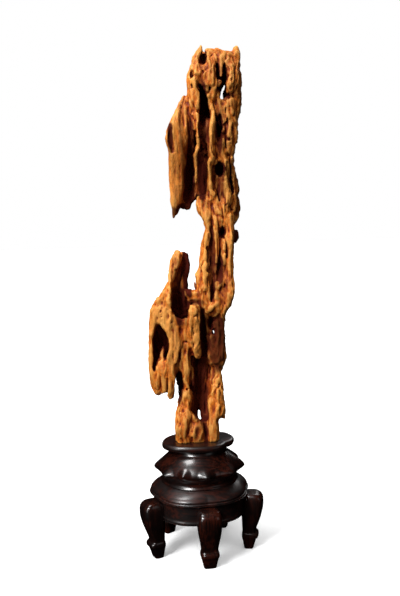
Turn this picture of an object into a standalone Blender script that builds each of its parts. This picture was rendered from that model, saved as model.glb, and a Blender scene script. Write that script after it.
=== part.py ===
"""Scholar's rock on its carved hardwood stand.

A tall, fluted and pierced limestone stands in the seat of a five-legged stand. The stone is one
natural piece. The stand is a seat plate, a knobbed drum, a lobed shoulder moulding, an apron and
five cabriole legs. Lengths are written in millimetres and turned to metres when a mesh is made.
The stand's axis is the drawing's upright axis, and the floor is at height zero.
"""
import math

import bmesh
import bpy
from mathutils import Vector, noise

COLLECTION = "scholars_rock"
CUTTERS = "scholars_rock_cutters"
MM = 0.001
GAP = 0.3                      # between pieces that touch
MERGE = 0.00001                # metres

# The stand's axis, from the middle of the whole object's footprint
AXIS_X = -3.2
AXIS_Y = 3.0

# Legs: five, evenly spaced; angles run from the front, towards +X
LEG_COUNT = 5
FIRST_LEG = 9.3
LEG_STEP = 360 / LEG_COUNT

# Heights of the stand's members
APRON_FOOT = 55.5
APRON_TOP = 83.0
SHOULDER_TOP = 100.0
DRUM_TOP = 147.0
SEAT_TOP = 157.0
SOCKET_DEPTH = 5.0

# Lobed plan of shoulder and apron: rounded petals that meet in a valley above each leg
LOBE_DEPTH = 4.0
PLAN_STEPS = 40

# Shoulder moulding: height, radius on a petal, share of the lobes' depth
SHOULDER_PROFILE = (
    (100.0, 54.5, 0.0), (97.6, 58.4, 0.2), (94.8, 63.8, 0.6), (91.4, 68.4, 0.9), (88.4, 70.2, 1.0),
    (86.0, 69.6, 1.0), (84.8, 71.2, 1.0), (83.3, 70.4, 1.0),
)
APRON_PROFILE = (
    (83.0, 67.4, 1.0), (70.0, 66.6, 1.0), (60.0, 66.6, 1.0), (58.6, 68.0, 1.0), (56.4, 68.0, 1.0),
    (55.5, 66.4, 1.0),
)

# Drum: height and radius, from the neck down to the waist
DRUM_PROFILE = (
    (147.0, 36.0), (141.5, 36.4), (138.4, 38.8), (133.0, 42.6), (126.0, 47.0), (118.0, 50.6),
    (109.0, 52.6), (100.3, 54.2),
)
DRUM_STEPS = 32

# Knobs on the drum: angle, height of the tip, reach of the tip from the axis, root's half width
KNOBS = (
    (-96.5, 116.0, 64.6, 16.0), (-51.0, 117.5, 62.6, 16.0), (-21.0, 125.0, 57.6, 12.5),
    (11.0, 122.0, 61.5, 15.5), (49.0, 120.5, 62.4, 16.0), (84.0, 119.5, 65.0, 16.0),
    (117.3, 121.0, 63.6, 16.0), (153.3, 118.0, 63.0, 16.0), (-170.7, 118.0, 63.4, 16.0),
    (-134.7, 119.5, 63.4, 16.0),
)
KNOB_TIP = 5.2                 # radius of the blunt tip
KNOB_NOSE = 2.6                # how far the tip is rounded out
KNOB_NOSE_SHARE = 0.5          # radius of the nose beside the tip's
KNOB_ROOT = 40.0               # how far in the knob's root starts
KNOB_RISE = 7.0                # the root sits this much higher than the tip
KNOB_SIDES = 8

# Seat plate: cloud-shaped outline of the flat top, front at -Y, with a rounded edge round it
SEAT_OUTLINE = (
    (-45.0, -6.0), (-41.0, -19.0), (-28.0, -29.5), (-8.0, -34.0), (12.0, -33.5), (27.0, -28.0),
    (34.0, -16.0), (42.5, -6.0), (44.5, 10.0), (36.0, 27.0), (20.0, 33.0), (4.0, 35.0),
    (-14.0, 33.0), (-30.0, 26.0), (-41.5, 12.0),
)
SEAT_THICKNESS = 10.0
SEAT_EDGE = 4.0
SEAT_CURVE_STEPS = 2
SEAT_EDGE_STEPS = 2

# The stone's foot, cut flat and let into the seat: an oval that the socket follows
FOOT_CENTRE = (0.0, -1.0)
FOOT_HALF_WIDTH = 27.5
FOOT_HALF_DEPTH = 18.0
FOOT_SIDES = 28
SOCKET_ROOM = 0.6              # between the foot's side and the socket's

# Leg sections, from knee to floor: height, nearest and farthest reach from the axis, half width
LEG_SECTIONS = (
    (80.6, 66.0, 80.0, 10.5), (78.0, 63.0, 86.6, 13.6), (71.0, 60.0, 90.4, 15.8),
    (61.0, 59.6, 90.2, 16.0), (48.0, 59.6, 87.0, 14.8), (36.0, 59.8, 82.6, 12.8),
    (27.0, 60.0, 79.4, 11.6), (21.5, 59.2, 82.4, 12.4), (17.5, 59.0, 82.6, 12.6),
    (14.5, 59.6, 80.0, 11.6), (0.0, 61.8, 75.4, 8.6),
)
LEG_SIDES = 12
LEG_SQUARENESS = 3.4           # 2 is round, higher is squarer

# The stone is built up from tapering strands, as it weathered into flutes and ribs.
# Each ring of a strand is: x, z, depth (front is negative), half width, half depth.
# x and z are drawn on the upright plane through the axis, as seen from EYE; depth runs along
# the line of sight, so that the drawing stays true from there.
EYE = Vector((9.0, -959.0, 445.0))
STRAND_SIDES = 10
STRAND_STEP = 5.0              # distance between rings
HOLLOW_SPREAD = 0.8            # how much wider the hollows are cut than their strands
STONE_GRAIN = 2.4              # voxel size of the union
STONE_TRIANGLES = 5100
STONE_SMOOTHING = 2
FLUTE_DEPTH = 1.2              # weathering of the back; the front is worn less
FLUTE_FRONT = 0.3              # share of that depth on the front
FLUTE_TURN = 24.0              # depth over which the front's wear gives way to the back's
FLUTE_WIDTH = 11.0
FLUTE_LENGTH = 60.0
SWAY = 6.0                     # how far the stone wanders to the front and back on its way up
SWAY_LENGTH = 250.0
SWAY_START = 170.0
SWAY_OVERTONE = 2.3            # a second, shorter wander, half as deep
TRIM_SIZE = 80.0               # block that trims the stone's foot
FOOT_OVERLAP = 8.0             # how far the oval foot is carried up into the stone
ROCK_SHARP_ANGLE = 60.0

MASSES = {
    "left ear": (
        (20.2, 701, -4, 1, 1.5), (18.8, 694, -5, 3.2, 4), (15, 684, -7, 4.2, 8),
        (12.2, 672, -9, 6.2, 11), (9.2, 660, -9, 7, 13), (8.3, 645, -9, 7.2, 14),
        (7.6, 630, -9, 7.6, 14), (8, 612, -9, 6.2, 12), (8.6, 600, -12, 4, 9), (9.2, 589, -16, 1.2, 4),
    ),
    "rib h": (
        (13, 616, -17, 1.6, 5), (12.6, 595, -19, 1.6, 5), (13, 582, -19, 1.4, 5),
        (13.2, 570, -18, 1.4, 5), (12, 561, -18, 2, 6), (10, 555, -18, 2.4, 6), (9.6, 546, -17, 2, 5),
        (10, 536, -17, 2, 5), (9.2, 527, -17, 1.8, 5), (7.4, 518, -17, 1.4, 4),
        (5.8, 509, -17, 0.8, 2),
    ),
    "crown a": (
        (26, 673, -12, 7, 10), (25, 662, -15, 8, 10), (25.5, 651, -17, 7.6, 8),
    ),
    "crown b": (
        (32.5, 692.5, -6, 4.5, 8), (33.5, 680, -11, 5.5, 11), (34, 664, -15, 6, 11),
        (33.5, 652, -18, 6.5, 8),
    ),
    "crown c": (
        (41, 692, -4, 5.5, 9), (43, 685, -8, 8, 11), (52, 684, -6, 7, 11),
    ),
    "crown d": (
        (52.5, 690, -2, 2.2, 8), (53.5, 683, -4, 5, 10),
    ),
    "web cd": (
        (47.6, 680, -13, 2.2, 6), (47.6, 666, -14, 1.8, 7), (46.4, 654, -15, 2, 6),
        (42, 648, -16, 2.6, 5),
    ),
    "right lobe": (
        (57, 687, -6, 5, 8), (59, 674, -12, 6.2, 9), (59.8, 658, -15, 6.4, 9),
        (58.6, 645, -16, 5.6, 8), (55.8, 635.5, -15, 3, 6),
    ),
    "right ear": (
        (70, 697.5, 2, 0.9, 2), (67.6, 691, 1, 4, 6), (67.4, 682, 0, 4.8, 11), (67.4, 670, -1, 5, 13),
        (68.3, 655, -1, 5.6, 14), (67, 640, -1, 5.4, 14), (66.2, 624, -1, 5.2, 14),
        (64.6, 608, -2, 5.2, 13), (62, 594, -3, 5.2, 13), (61.4, 582, -3, 5, 12),
        (60.4, 571, -3, 4.6, 11), (57.6, 561, -3, 4.4, 10), (56.4, 553, -3, 3.4, 8),
    ),
    "right band": (
        (58, 628, -7, 6, 11), (56, 610, -9, 7.6, 11), (55, 594, -9, 7, 10), (54, 579, -9, 6.4, 10),
        (53.6, 566, -8, 5.6, 9), (54.5, 556, -7, 4, 8),
    ),
    "wall l": (
        (20, 690, 10, 6, 6), (18, 668, 12, 12, 9), (18, 640, 14, 15, 9), (18, 610, 14, 16, 9),
        (17, 580, 13, 16, 9), (15, 550, 12, 17, 9), (13, 520, 11, 16, 9), (14, 500, 8, 10, 8),
    ),
    "wall r": (
        (48, 688, 10, 17, 7), (47, 665, 13, 19, 9), (47, 640, 14, 20, 9), (46, 610, 14, 20, 9),
        (46, 580, 13, 17, 9), (44, 550, 12, 15, 9), (46, 520, 11, 16, 10), (44, 498, 9, 18, 12),
    ),
    "blade outer": (
        (-5.2, 632.5, -8, 1.8, 3), (-8.5, 623, -9, 3.4, 6), (-13.2, 611, -11, 4.8, 8),
        (-18, 599, -12, 6.6, 9), (-21.8, 587, -13, 7.8, 9), (-24.4, 576, -13, 7.2, 9),
        (-22.8, 562, -13, 6.2, 9), (-22.6, 545, -13, 6.2, 9), (-22.4, 522, -12, 6.2, 9),
        (-22, 502, -11, 5.6, 8), (-22.3, 486, -9, 4.6, 7), (-24.4, 469, -6, 1, 2),
    ),
    "blade inner": (
        (-4.5, 632, -6, 2.6, 4), (-4.2, 617, -8, 3.6, 7), (-6, 601, -9, 5.2, 8),
        (-6.2, 585, -10, 5.4, 9), (-8, 570, -10, 5.8, 9), (-9.2, 552, -9, 5.6, 9),
        (-9.8, 535, -8, 5.4, 9), (-11.6, 518, -7, 4.8, 9), (-14, 500, -5, 4, 8),
        (-16.6, 486, -3, 3.2, 6), (-20.5, 474, -2, 1.6, 3),
    ),
    "blade mid": (
        (-11.4, 606, -10, 6, 8), (-14, 580, -12, 8, 9.6), (-14.6, 548, -12, 8, 9.8),
        (-15.6, 515, -11, 7, 9.4), (-18.6, 490, -7, 5, 8),
    ),
    "slab back": (
        (-10, 610, 2, 5, 6), (-14, 580, 5, 9, 9), (-13, 550, 6, 10, 10), (-11, 525, 6, 10, 10),
        (-9, 502, 6, 10, 9), (-8, 489, 5, 8, 8), (-3, 488, 5, 6, 7),
    ),
    "recess back": (
        (0, 615, 8, 5, 6), (1, 590, 11, 8, 7), (0, 560, 12, 9, 7), (-1, 530, 11, 10, 8),
        (0, 505, 8, 9, 8), (2, 494, 6, 6, 7),
    ),
    "shaft wall": (
        (20, 604, -1, 7, 7), (20, 587, -3, 7, 8), (20, 572, -3, 7, 8), (20, 558, 1, 7, 7),
    ),
    "recess wall": (
        (2, 606, -5, 6, 8), (2, 588, -5, 7, 8), (1, 570, -4, 7, 8), (0, 556, 0, 7, 7),
    ),
    "rib thin": (
        (25.5, 645, -20, 2.4, 4), (28.6, 634, -20, 1.6, 4), (30, 625, -19, 1.5, 4),
        (32, 616, -19, 2, 4),
    ),
    "rib thin2": (
        (36.5, 648, -18, 3, 4), (35.6, 634, -18, 1.8, 4), (33.4, 622, -18, 2, 4),
        (34.6, 610, -19, 3, 5),
    ),
    "rib i": (
        (34.6, 612, -19, 2.2, 5), (32.8, 597, -20, 3.2, 6), (31.8, 582, -20, 3, 6),
        (30.8, 570, -20, 2.4, 6), (31.4, 562, -20, 3.4, 6), (31.2, 551, -20, 3.8, 6),
        (28.6, 543, -20, 2.2, 6), (28, 530, -19, 2, 6), (28, 518, -19, 2, 6), (28.6, 509, -19, 2.3, 6),
        (31.2, 502, -20, 4, 7), (31, 496.5, -19, 3.8, 6),
    ),
    "rib i base": (
        (33, 600, -5, 6, 10), (32, 565, -5, 5, 10), (30, 535, -4, 4, 11), (30, 505, -8, 7, 10),
    ),
    "rib spur": (
        (34, 579, -19, 1.6, 4), (34.4, 570, -19, 1, 3),
    ),
    "rib knob": (
        (35, 545, -18, 2.4, 3), (35.4, 540, -18, 1, 2),
    ),
    "rib k": (
        (50.5, 602, -14, 3, 5), (48, 588, -15, 2.6, 5), (46.4, 576, -15, 2.2, 5),
        (44.8, 562, -15, 2.8, 5), (47.2, 552, -15, 2.6, 5), (50.4, 543, -16, 3, 6),
        (49.6, 532, -16, 2.8, 6), (48.8, 521, -16, 3.4, 6), (50.4, 510, -16, 4.4, 7),
        (52.4, 500, -17, 5, 8), (51.5, 487, -17, 5, 8),
    ),
    "rib k2": (
        (43.6, 521, -14, 1.4, 4), (42.6, 511, -15, 2, 5), (43.5, 498, -15, 3, 6),
    ),
    "right low": (
        (57, 552, 0, 2.6, 8), (56.6, 541, 0, 3, 9), (58.4, 528, 0, 3.6, 10), (61.6, 515, 0, 4.2, 10),
        (62.6, 504, 0, 4, 10), (61.6, 494, 1, 4.4, 10), (62.6, 481, 2, 4.8, 9), (62.4, 472, 3, 4, 8),
        (60, 463, 3, 2, 6),
    ),
    "mass front": (
        (30, 500, -8, 14, 12), (35, 488, -9, 20, 12), (38, 474, -9, 19, 12), (39, 462, -8, 18, 11),
        (39, 450, -6, 17, 9),
    ),
    "mass left": (
        (13, 497, -10, 4.6, 8), (14.6, 485, -11, 6.6, 9), (18.5, 473, -12, 5.6, 9),
        (22, 462, -12, 4, 8), (23.4, 452, -12, 3.6, 8), (20.6, 441, -12, 4, 8), (18, 430, -13, 4.8, 9),
        (16.8, 418, -13, 4.8, 9), (15.6, 406, -13, 4.6, 9), (15, 394, -13, 4.2, 8),
        (15.2, 382, -13, 4.6, 8), (15, 371, -12, 6, 8),
    ),
    "mass left2": (
        (12.2, 404, -10, 2, 4), (9.4, 393, -11, 2.6, 5), (8.4, 384, -11, 3, 6), (10, 374, -10, 4.6, 6),
    ),
    "flake": (
        (8, 386, -12, 2.6, 4), (5.2, 389.4, -13, 1.8, 3), (3.2, 391.4, -13, 0.6, 1),
    ),
    "flake dark": (
        (6, 370, 2, 3.6, 5), (3.4, 376, 3, 2.2, 4), (1.6, 382, 4, 0.7, 1.5),
    ),
    "backbone": (
        (40, 500, 8, 20, 14), (41, 470, 8, 19, 14), (40, 445, 8, 17, 14), (37, 415, 8, 18, 14),
        (35, 385, 8, 21, 14), (32, 358, 8, 22, 15),
    ),
    "rib 33": (
        (34, 470, -15, 4, 7), (34, 455, -16, 3, 6), (34.2, 440, -16, 2.6, 6), (33.6, 425, -16, 2.3, 6),
        (32.6, 405, -16, 2.3, 6), (31.2, 388, -15, 2, 5), (30, 372, -14, 2, 5),
    ),
    "col right": (
        (52, 472, -10, 6, 10), (52, 455, -11, 6.4, 9), (51.6, 436, -12, 6, 9),
        (50.4, 415, -12, 5.6, 9), (50, 396, -12, 5.6, 9), (51.5, 380, -12, 6.2, 9),
        (51.6, 365, -11, 5.8, 9), (47, 350, -10, 5.6, 9), (42.5, 338, -9, 4.6, 8),
        (39.8, 328, -6, 2.6, 7),
    ),
    "col inner": (
        (44.4, 437, -14, 3.4, 6), (44.6, 420, -15, 2.8, 6), (44, 404, -15, 2.6, 6),
        (43, 392, -15, 2.2, 5),
    ),
    "knob": (
        (61, 450, 6, 0.9, 2), (60.8, 441, 5, 3.1, 6), (59.4, 432, 5, 1.4, 3),
    ),
    "pillar": (
        (-20.5, 423.5, -8, 3.6, 4), (-21.6, 414, -9, 5.4, 7), (-23.2, 402, -10, 5.6, 8),
        (-26, 389, -10, 3.4, 7), (-29, 377, -10, 3, 7),
    ),
    "pillar rim": (
        (-28, 411, -8, 1.2, 5), (-30, 399, -9, 1.7, 6), (-31.8, 387, -9, 1.8, 6),
        (-33.6, 376, -9, 3, 7), (-38, 364, -9, 6, 8), (-45, 352, -9, 9, 9),
    ),
    "pillar back": (
        (-10.5, 420.5, 5, 5.4, 5), (-12, 408, 6, 7.4, 7), (-15, 394, 6, 8, 8), (-18, 380, 7, 9.4, 9),
        (-20, 366, 8, 12, 9), (-18, 350, 10, 16, 8),
    ),
    "bridge": (
        (-12, 367, -4, 5, 9), (-5, 363.6, -6, 5, 9), (3, 362.6, -7, 4.6, 8), (12, 365, -8, 5, 8),
    ),
    "arch red": (
        (8, 372, -12, 4, 6), (14.5, 370, -13, 5, 6), (21, 369, -12, 4.6, 6),
    ),
    "outer left": (
        (-50, 353, -6, 4, 6), (-52, 343, -8, 8, 11), (-54.5, 330, -9, 7.2, 12),
        (-59, 316, -8, 4.4, 12), (-61.2, 300, -7, 2.4, 11), (-61.8, 286, -7, 2.9, 11),
        (-62.2, 270, -7, 3.3, 11), (-61.6, 255, -8, 3.6, 11), (-58.6, 243, -9, 5.4, 11),
        (-57.2, 232, -9, 5.4, 10), (-55.2, 223, -8, 4.2, 7),
    ),
    "upper front": (
        (-42, 350, -10, 9, 10), (-42, 338, -13, 11, 10), (-38, 325, -15, 11, 10),
        (-30, 312, -16, 9, 10), (-28, 298, -17, 9, 10), (-28, 284, -17, 9, 10),
        (-31.5, 270, -17, 8.6, 10), (-34, 255, -17, 7.6, 10), (-35.4, 240, -16, 6.4, 9),
        (-35.6, 226, -15, 5, 8), (-36, 216.5, -13, 3, 5),
    ),
    "ridge a": (
        (-36, 345, -19, 3, 5), (-33, 330, -22, 3.2, 5), (-35.5, 312, -23, 3, 5),
        (-33, 297, -24, 2.6, 5), (-34.5, 282, -24, 3, 5), (-39, 268, -22, 3, 5),
        (-41.5, 255, -20, 2.6, 5), (-41.6, 243, -18, 2, 5),
    ),
    "bowl lip": (
        (-29, 327, -16, 6, 8), (-19, 320, -16, 6, 8), (-11, 320, -16, 6, 8),
    ),
    "centre face": (
        (-12, 322, -15, 6, 9), (-12, 308, -16, 6.4, 9), (-11.6, 296, -15, 6, 8), (-12, 284, -13, 5, 8),
        (-13.4, 270, -13, 5.2, 8), (-14, 255, -13, 5.2, 8), (-14, 241, -12, 4.8, 8),
        (-13.6, 229, -12, 4, 8), (-15, 218, -12, 7, 9),
    ),
    "lobe t": (
        (2.6, 347, -14, 4, 6), (2, 338, -16, 5.6, 8), (1.4, 326, -17, 6.4, 9), (1, 311, -17, 6.4, 9),
        (1, 297, -17, 6.4, 9), (1.6, 284, -16, 6, 8), (1.8, 274.5, -14, 5, 6),
    ),
    "lobe t ridge": (
        (-2.6, 346, -17, 2, 4), (-4.6, 336, -20, 2.4, 5), (-5, 321, -22, 2.3, 5),
        (-5.2, 306, -22, 2.3, 5), (-6, 290, -20, 2, 5),
    ),
    "drape mid": (
        (-49, 272, -11, 5.4, 8), (-46.6, 262, -13, 5.6, 9), (-46, 248, -14, 5.6, 9),
        (-45.6, 236, -14, 5.4, 8), (-45.4, 226.5, -12, 4.6, 7),
    ),
    "drape a": (
        (-54.5, 262, -12, 3.6, 7), (-54.5, 248, -14, 3.2, 7), (-54.6, 234, -14, 3, 6),
    ),
    "web v": (
        (-46, 292, -6, 1.6, 5), (-45.4, 285, -8, 2.2, 5), (-47.5, 276, -10, 3.6, 6),
    ),
    "back ll": (
        (-46, 345, 8, 12, 10), (-49, 322, 10, 12, 10), (-50, 297, 12, 13, 8), (-50, 270, 8, 13, 9),
        (-48, 248, 6, 12, 9), (-47, 233, 4, 9, 7),
    ),
    "back lm": (
        (-22, 352, 12, 16, 8), (-20, 325, 10, 18, 12), (-18, 295, 8, 18, 13), (-18, 268, 8, 15, 12),
        (-16, 245, 8, 12, 12), (-15, 228, 8, 9, 12), (-16, 212, 6, 9, 12),
    ),
    "back c": (
        (8, 348, 10, 22, 10), (14, 322, 11, 22, 9), (16, 297, 12, 22, 9), (14, 270, 12, 22, 9),
        (10, 245, 12, 20, 9), (8, 224, 12, 20, 9), (3, 210, 11, 14, 9),
    ),
    "z mass": (
        (41, 337, 0, 4, 8), (35, 324, -2, 7, 9.6), (32.6, 312, -3, 8, 11), (30.4, 300, -4, 10.6, 12),
        (31.2, 289, -4, 9.6, 11), (30.4, 278, -4, 12, 12), (30.4, 267, -2, 11, 11),
        (31.4, 257.5, 2, 6, 8),
    ),
    "z edge": (
        (40.6, 330, -4, 1.6, 6), (38.6, 314, -5, 1.8, 6), (37.4, 300, -5, 1.6, 6),
        (38, 288, -4, 2.2, 6),
    ),
    "right body": (
        (42, 362, -7, 9, 10), (37, 350, -9, 8, 9), (33, 341, -9, 7, 8), (30, 333, -6, 5, 7),
    ),
    "diag a": (
        (49, 392, -15, 2, 4), (43.5, 384, -16, 2.2, 4), (38, 376, -16, 2.3, 4), (34.6, 368, -15, 2, 4),
    ),
    "diag b": (
        (33, 349, -15, 2.6, 4), (25, 343, -16, 2.8, 4), (17.6, 337.6, -14, 2.2, 4),
    ),
    "patch red": (
        (11, 353, -10, 4, 6), (18, 349, -11, 5, 6), (24, 347, -10, 5, 6),
    ),
    "nub": (
        (44.6, 341, 4, 2.6, 4), (45.2, 334.5, 4, 1.4, 2.5),
    ),
    "foot left": (
        (-14.5, 226, -9, 6, 9), (-16.5, 215, -9, 9, 11), (-17.6, 204, -10, 9.2, 12),
        (-20, 192, -12, 10.4, 14), (-20.8, 181, -14, 11.4, 14), (-20.6, 170, -13, 11.6, 15),
        (-19.6, 160, -11, 11, 15), (-19, 144, -9, 10.6, 15),
    ),
    "ledge": (
        (-11, 193, -14, 4, 7), (-5, 187, -15, 3.4, 7), (1, 181.5, -14, 3, 7),
    ),
    "foot mid": (
        (-3, 184, -8, 5, 10), (-1, 175, -8, 7.4, 13), (1, 164, -7, 9, 15), (2, 144, -6, 9, 15),
    ),
    "foot right": (
        (29.6, 264, -1, 3.4, 6), (31, 251, -3, 4.4, 7), (30.6, 241, -5, 6.4, 8), (29, 229, -7, 9, 10),
        (27.6, 215, -8, 10.4, 11), (26.6, 203, -8, 11.4, 11), (25.4, 193, -8, 10.6, 11),
        (22.4, 183, -8, 6.6, 12), (21.8, 172, -9, 8, 12), (21.6, 160, -8, 8, 13),
        (21.4, 144, -7, 7.6, 13),
    ),
    "spur": (
        (34, 203, -8, 5.4, 7), (36.6, 192, -8, 3.6, 6), (38.4, 183.8, -8, 1.7, 3),
    ),
    "foot back l": (
        (-14, 216, 8, 10, 11), (-10, 203, 8, 10.2, 11), (-8.6, 192, 8, 9.9, 11), (-8, 184, 8, 11, 12),
        (-11, 170, 6, 14, 14), (-12, 144, 5, 16, 14),
    ),
    "foot back r": (
        (17, 222, 8, 14, 10), (14, 203, 8, 11.3, 10), (15, 192, 8, 11, 11), (16.6, 184, 8, 11, 12),
        (15, 172, 6, 12, 13), (14, 144, 5, 13, 13),
    ),
    "saddle back": (
        (-26, 356, 13, 8, 8), (-8, 355, 12, 9, 9), (12, 358, 11, 10, 10), (28, 362, 10, 10, 11),
    ),
    "back rib a": (
        (60, 685, 10, 4, 6), (58, 650, 18, 4, 7), (60, 610, 20, 4.5, 7), (56, 570, 19, 4, 7),
        (52, 535, 18, 4, 6),
    ),
    "back rib b": (
        (40, 680, 14, 4, 6), (38, 640, 22, 4.5, 7), (42, 600, 23, 4.5, 7), (40, 560, 21, 5, 7),
        (44, 520, 20, 5, 8), (50, 480, 20, 5, 8), (48, 440, 20, 4.5, 7), (44, 400, 20, 4.5, 7),
        (46, 365, 18, 4, 6),
    ),
    "back rib c": (
        (24, 670, 14, 3.5, 6), (20, 630, 22, 4.5, 7), (24, 590, 23, 4.5, 7), (20, 550, 21, 4, 7),
        (26, 510, 19, 5, 7), (32, 470, 20, 5, 8), (28, 430, 20, 4.5, 7), (24, 390, 20, 4.5, 7),
        (20, 355, 20, 5, 7), (22, 315, 20, 5, 7), (26, 275, 20, 4.5, 7), (20, 240, 19, 4, 6),
        (22, 205, 17, 4, 6), (18, 165, 15, 4, 6),
    ),
    "back rib d": (
        (8, 640, 14, 3.5, 6), (4, 600, 18, 4, 7), (2, 560, 19, 4, 7), (4, 520, 17, 4, 6),
        (-2, 499, 12, 3, 5),
    ),
    "back rib e": (
        (-12, 600, 10, 3.5, 6), (-18, 570, 15, 4, 6), (-14, 535, 15, 4, 6), (-12, 502, 13, 3.5, 5),
    ),
    "back rib f": (
        (-12, 412, 12, 3, 5), (-18, 380, 15, 4, 6), (-26, 350, 19, 4.5, 7), (-22, 310, 20, 4.5, 7),
        (-26, 270, 18, 4, 6), (-20, 235, 18, 4, 6), (-16, 200, 17, 4, 6), (-18, 165, 16, 5, 7),
    ),
    "back rib g": (
        (-46, 345, 15, 4, 6), (-52, 310, 19, 4.5, 7), (-48, 275, 18, 4.5, 7), (-54, 245, 13, 4, 6),
    ),
    "back rib h": (
        (2, 350, 18, 4, 6), (-2, 310, 20, 4.5, 7), (4, 270, 21, 4.5, 7), (0, 235, 20, 4, 6),
        (6, 212, 17, 3, 5),
    ),
    "back rib i": (
        (40, 335, 8, 3, 6), (34, 300, 14, 4, 6), (36, 270, 12, 4, 6),
    ),
    "pillar web": (
        (-15, 420, 5, 5, 5), (-18.5, 408, 5, 7.5, 6), (-23, 394, 6, 8, 7), (-27, 380, 7, 8, 8),
        (-32, 368, 8, 9, 8), (-36, 356, 8, 9, 8), (-37, 345, 8, 8, 8),
    ),
    "waist right": (
        (27, 276, 6, 6, 9), (25.6, 256, 7, 5.4, 10), (26.6, 240, 6, 6, 10), (26, 225, 4, 8, 10),
    ),
    "crown base": (
        (30, 690, -3, 9, 11), (34, 674, -5, 13, 12), (34, 656, -7, 13, 12),
    ),
    "crown base r": (
        (57, 686, -2, 8, 10), (60, 666, -5, 8.6, 12), (60, 646, -6, 7.6, 12),
    ),
    "crown link": (
        (18.6, 673, -7, 5, 12), (18, 661, -8, 6, 12), (18, 651, -9, 5, 11),
    ),
    "band fill": (
        (60, 630, -6, 6, 10), (60, 608, -7, 6, 10), (57.6, 588, -6, 6, 10), (56.4, 570, -5, 5, 9),
    ),
    "low fill": (
        (56, 550, -4, 4, 9), (55, 530, -5, 4, 9), (56.6, 512, -6, 4.6, 9), (58, 495, -6, 5, 9),
        (58, 478, -5, 5, 8),
    ),
    "col mid": (
        (41, 472, -6, 7, 10), (41, 434, -7, 6, 10), (41, 418, -7, 6, 10), (41, 400, -7, 6, 10),
        (42, 380, -7, 7, 10), (43, 362, -6, 7, 9),
    ),
    "left fill": (
        (19, 492, -8, 8, 10), (22, 474, -8, 7, 10), (23, 460, -6, 6, 9),
    ),
    "waist fill": (
        (14, 352, -5, 7, 8), (30, 351, -6, 10, 9), (44, 349, -6, 8, 9),
    ),
    "waist fill b": (
        (20, 338, -4, 5, 8), (30, 336, -5, 6, 9),
    ),
    "t link": (
        (-6, 323, -13, 4.4, 8), (-6, 302, -13, 4.4, 8), (-6.4, 284, -10, 4, 8),
    ),
    "upper fill": (
        (-48, 346, -8, 8, 9), (-47, 333, -9, 8, 10),
    ),
    "foot fill l": (
        (-9, 182, -6, 5, 12), (-9, 168, -6, 6, 13), (-9, 144, -5, 7, 13),
    ),
    "foot fill r": (
        (13, 180, -3, 4, 10), (13, 166, -4, 5, 11), (13, 144, -3, 6, 11),
    ),
    "wall mid": (
        (40, 641, -6, 4, 8), (41, 628, -8, 6.6, 9), (44, 617, -9, 8, 10), (46, 604, -8, 6, 9),
    ),
    "wall low": (
        (41, 562, -4, 7, 9), (41, 548, -7, 8, 9), (41, 520, -8, 8, 9), (41, 502, -9, 9, 10),
    ),
    "f floor": (
        (41, 573, -9, 5, 8), (41, 560, -10, 5, 9), (41, 549, -9, 5, 8),
    ),
    "col face": (
        (27, 472, -8, 6, 8), (27, 440, -9, 6, 8), (27, 410, -9, 6, 8), (27, 385, -8, 6, 8),
        (27, 368, -7, 6, 8),
    ),
    "crack fill": (
        (-19, 304, -14, 5, 8), (-20, 288, -14, 6, 8), (-22, 272, -13, 6, 8), (-24, 256, -9, 5, 8),
    ),
    "bridge mass": (
        (-4, 360, -3, 5, 8), (10, 359, -6, 7, 9), (24, 358, -8, 9, 9), (36, 358, -9, 9, 9),
    ),
    "arch mass": (
        (12, 348, -7, 6, 8), (22, 346, -9, 7, 8), (34, 345, -9, 8, 8), (36, 336, -7, 7, 8),
    ),
    "foot lump": (
        (-4, 184, -12, 4, 6), (0, 174, -16, 5.4, 8), (-3, 163, -17, 8, 9), (-2, 149, -13, 7, 9),
    ),
    "foot front": (
        (-26, 182, -19, 4, 6), (-25, 171, -22, 7, 8), (-23, 158, -20, 6, 8),
    ),
    "centre wall": (
        (13, 342, -1, 7, 8), (13, 320, -1, 7, 8), (13, 300, -1, 7, 8), (13, 276, 0, 7, 8),
    ),
    "saddle fill": (
        (-6, 357, -6, 4, 8), (3, 356, -7, 4.6, 8), (11, 357, -7, 5, 8),
    ),
}

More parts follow.
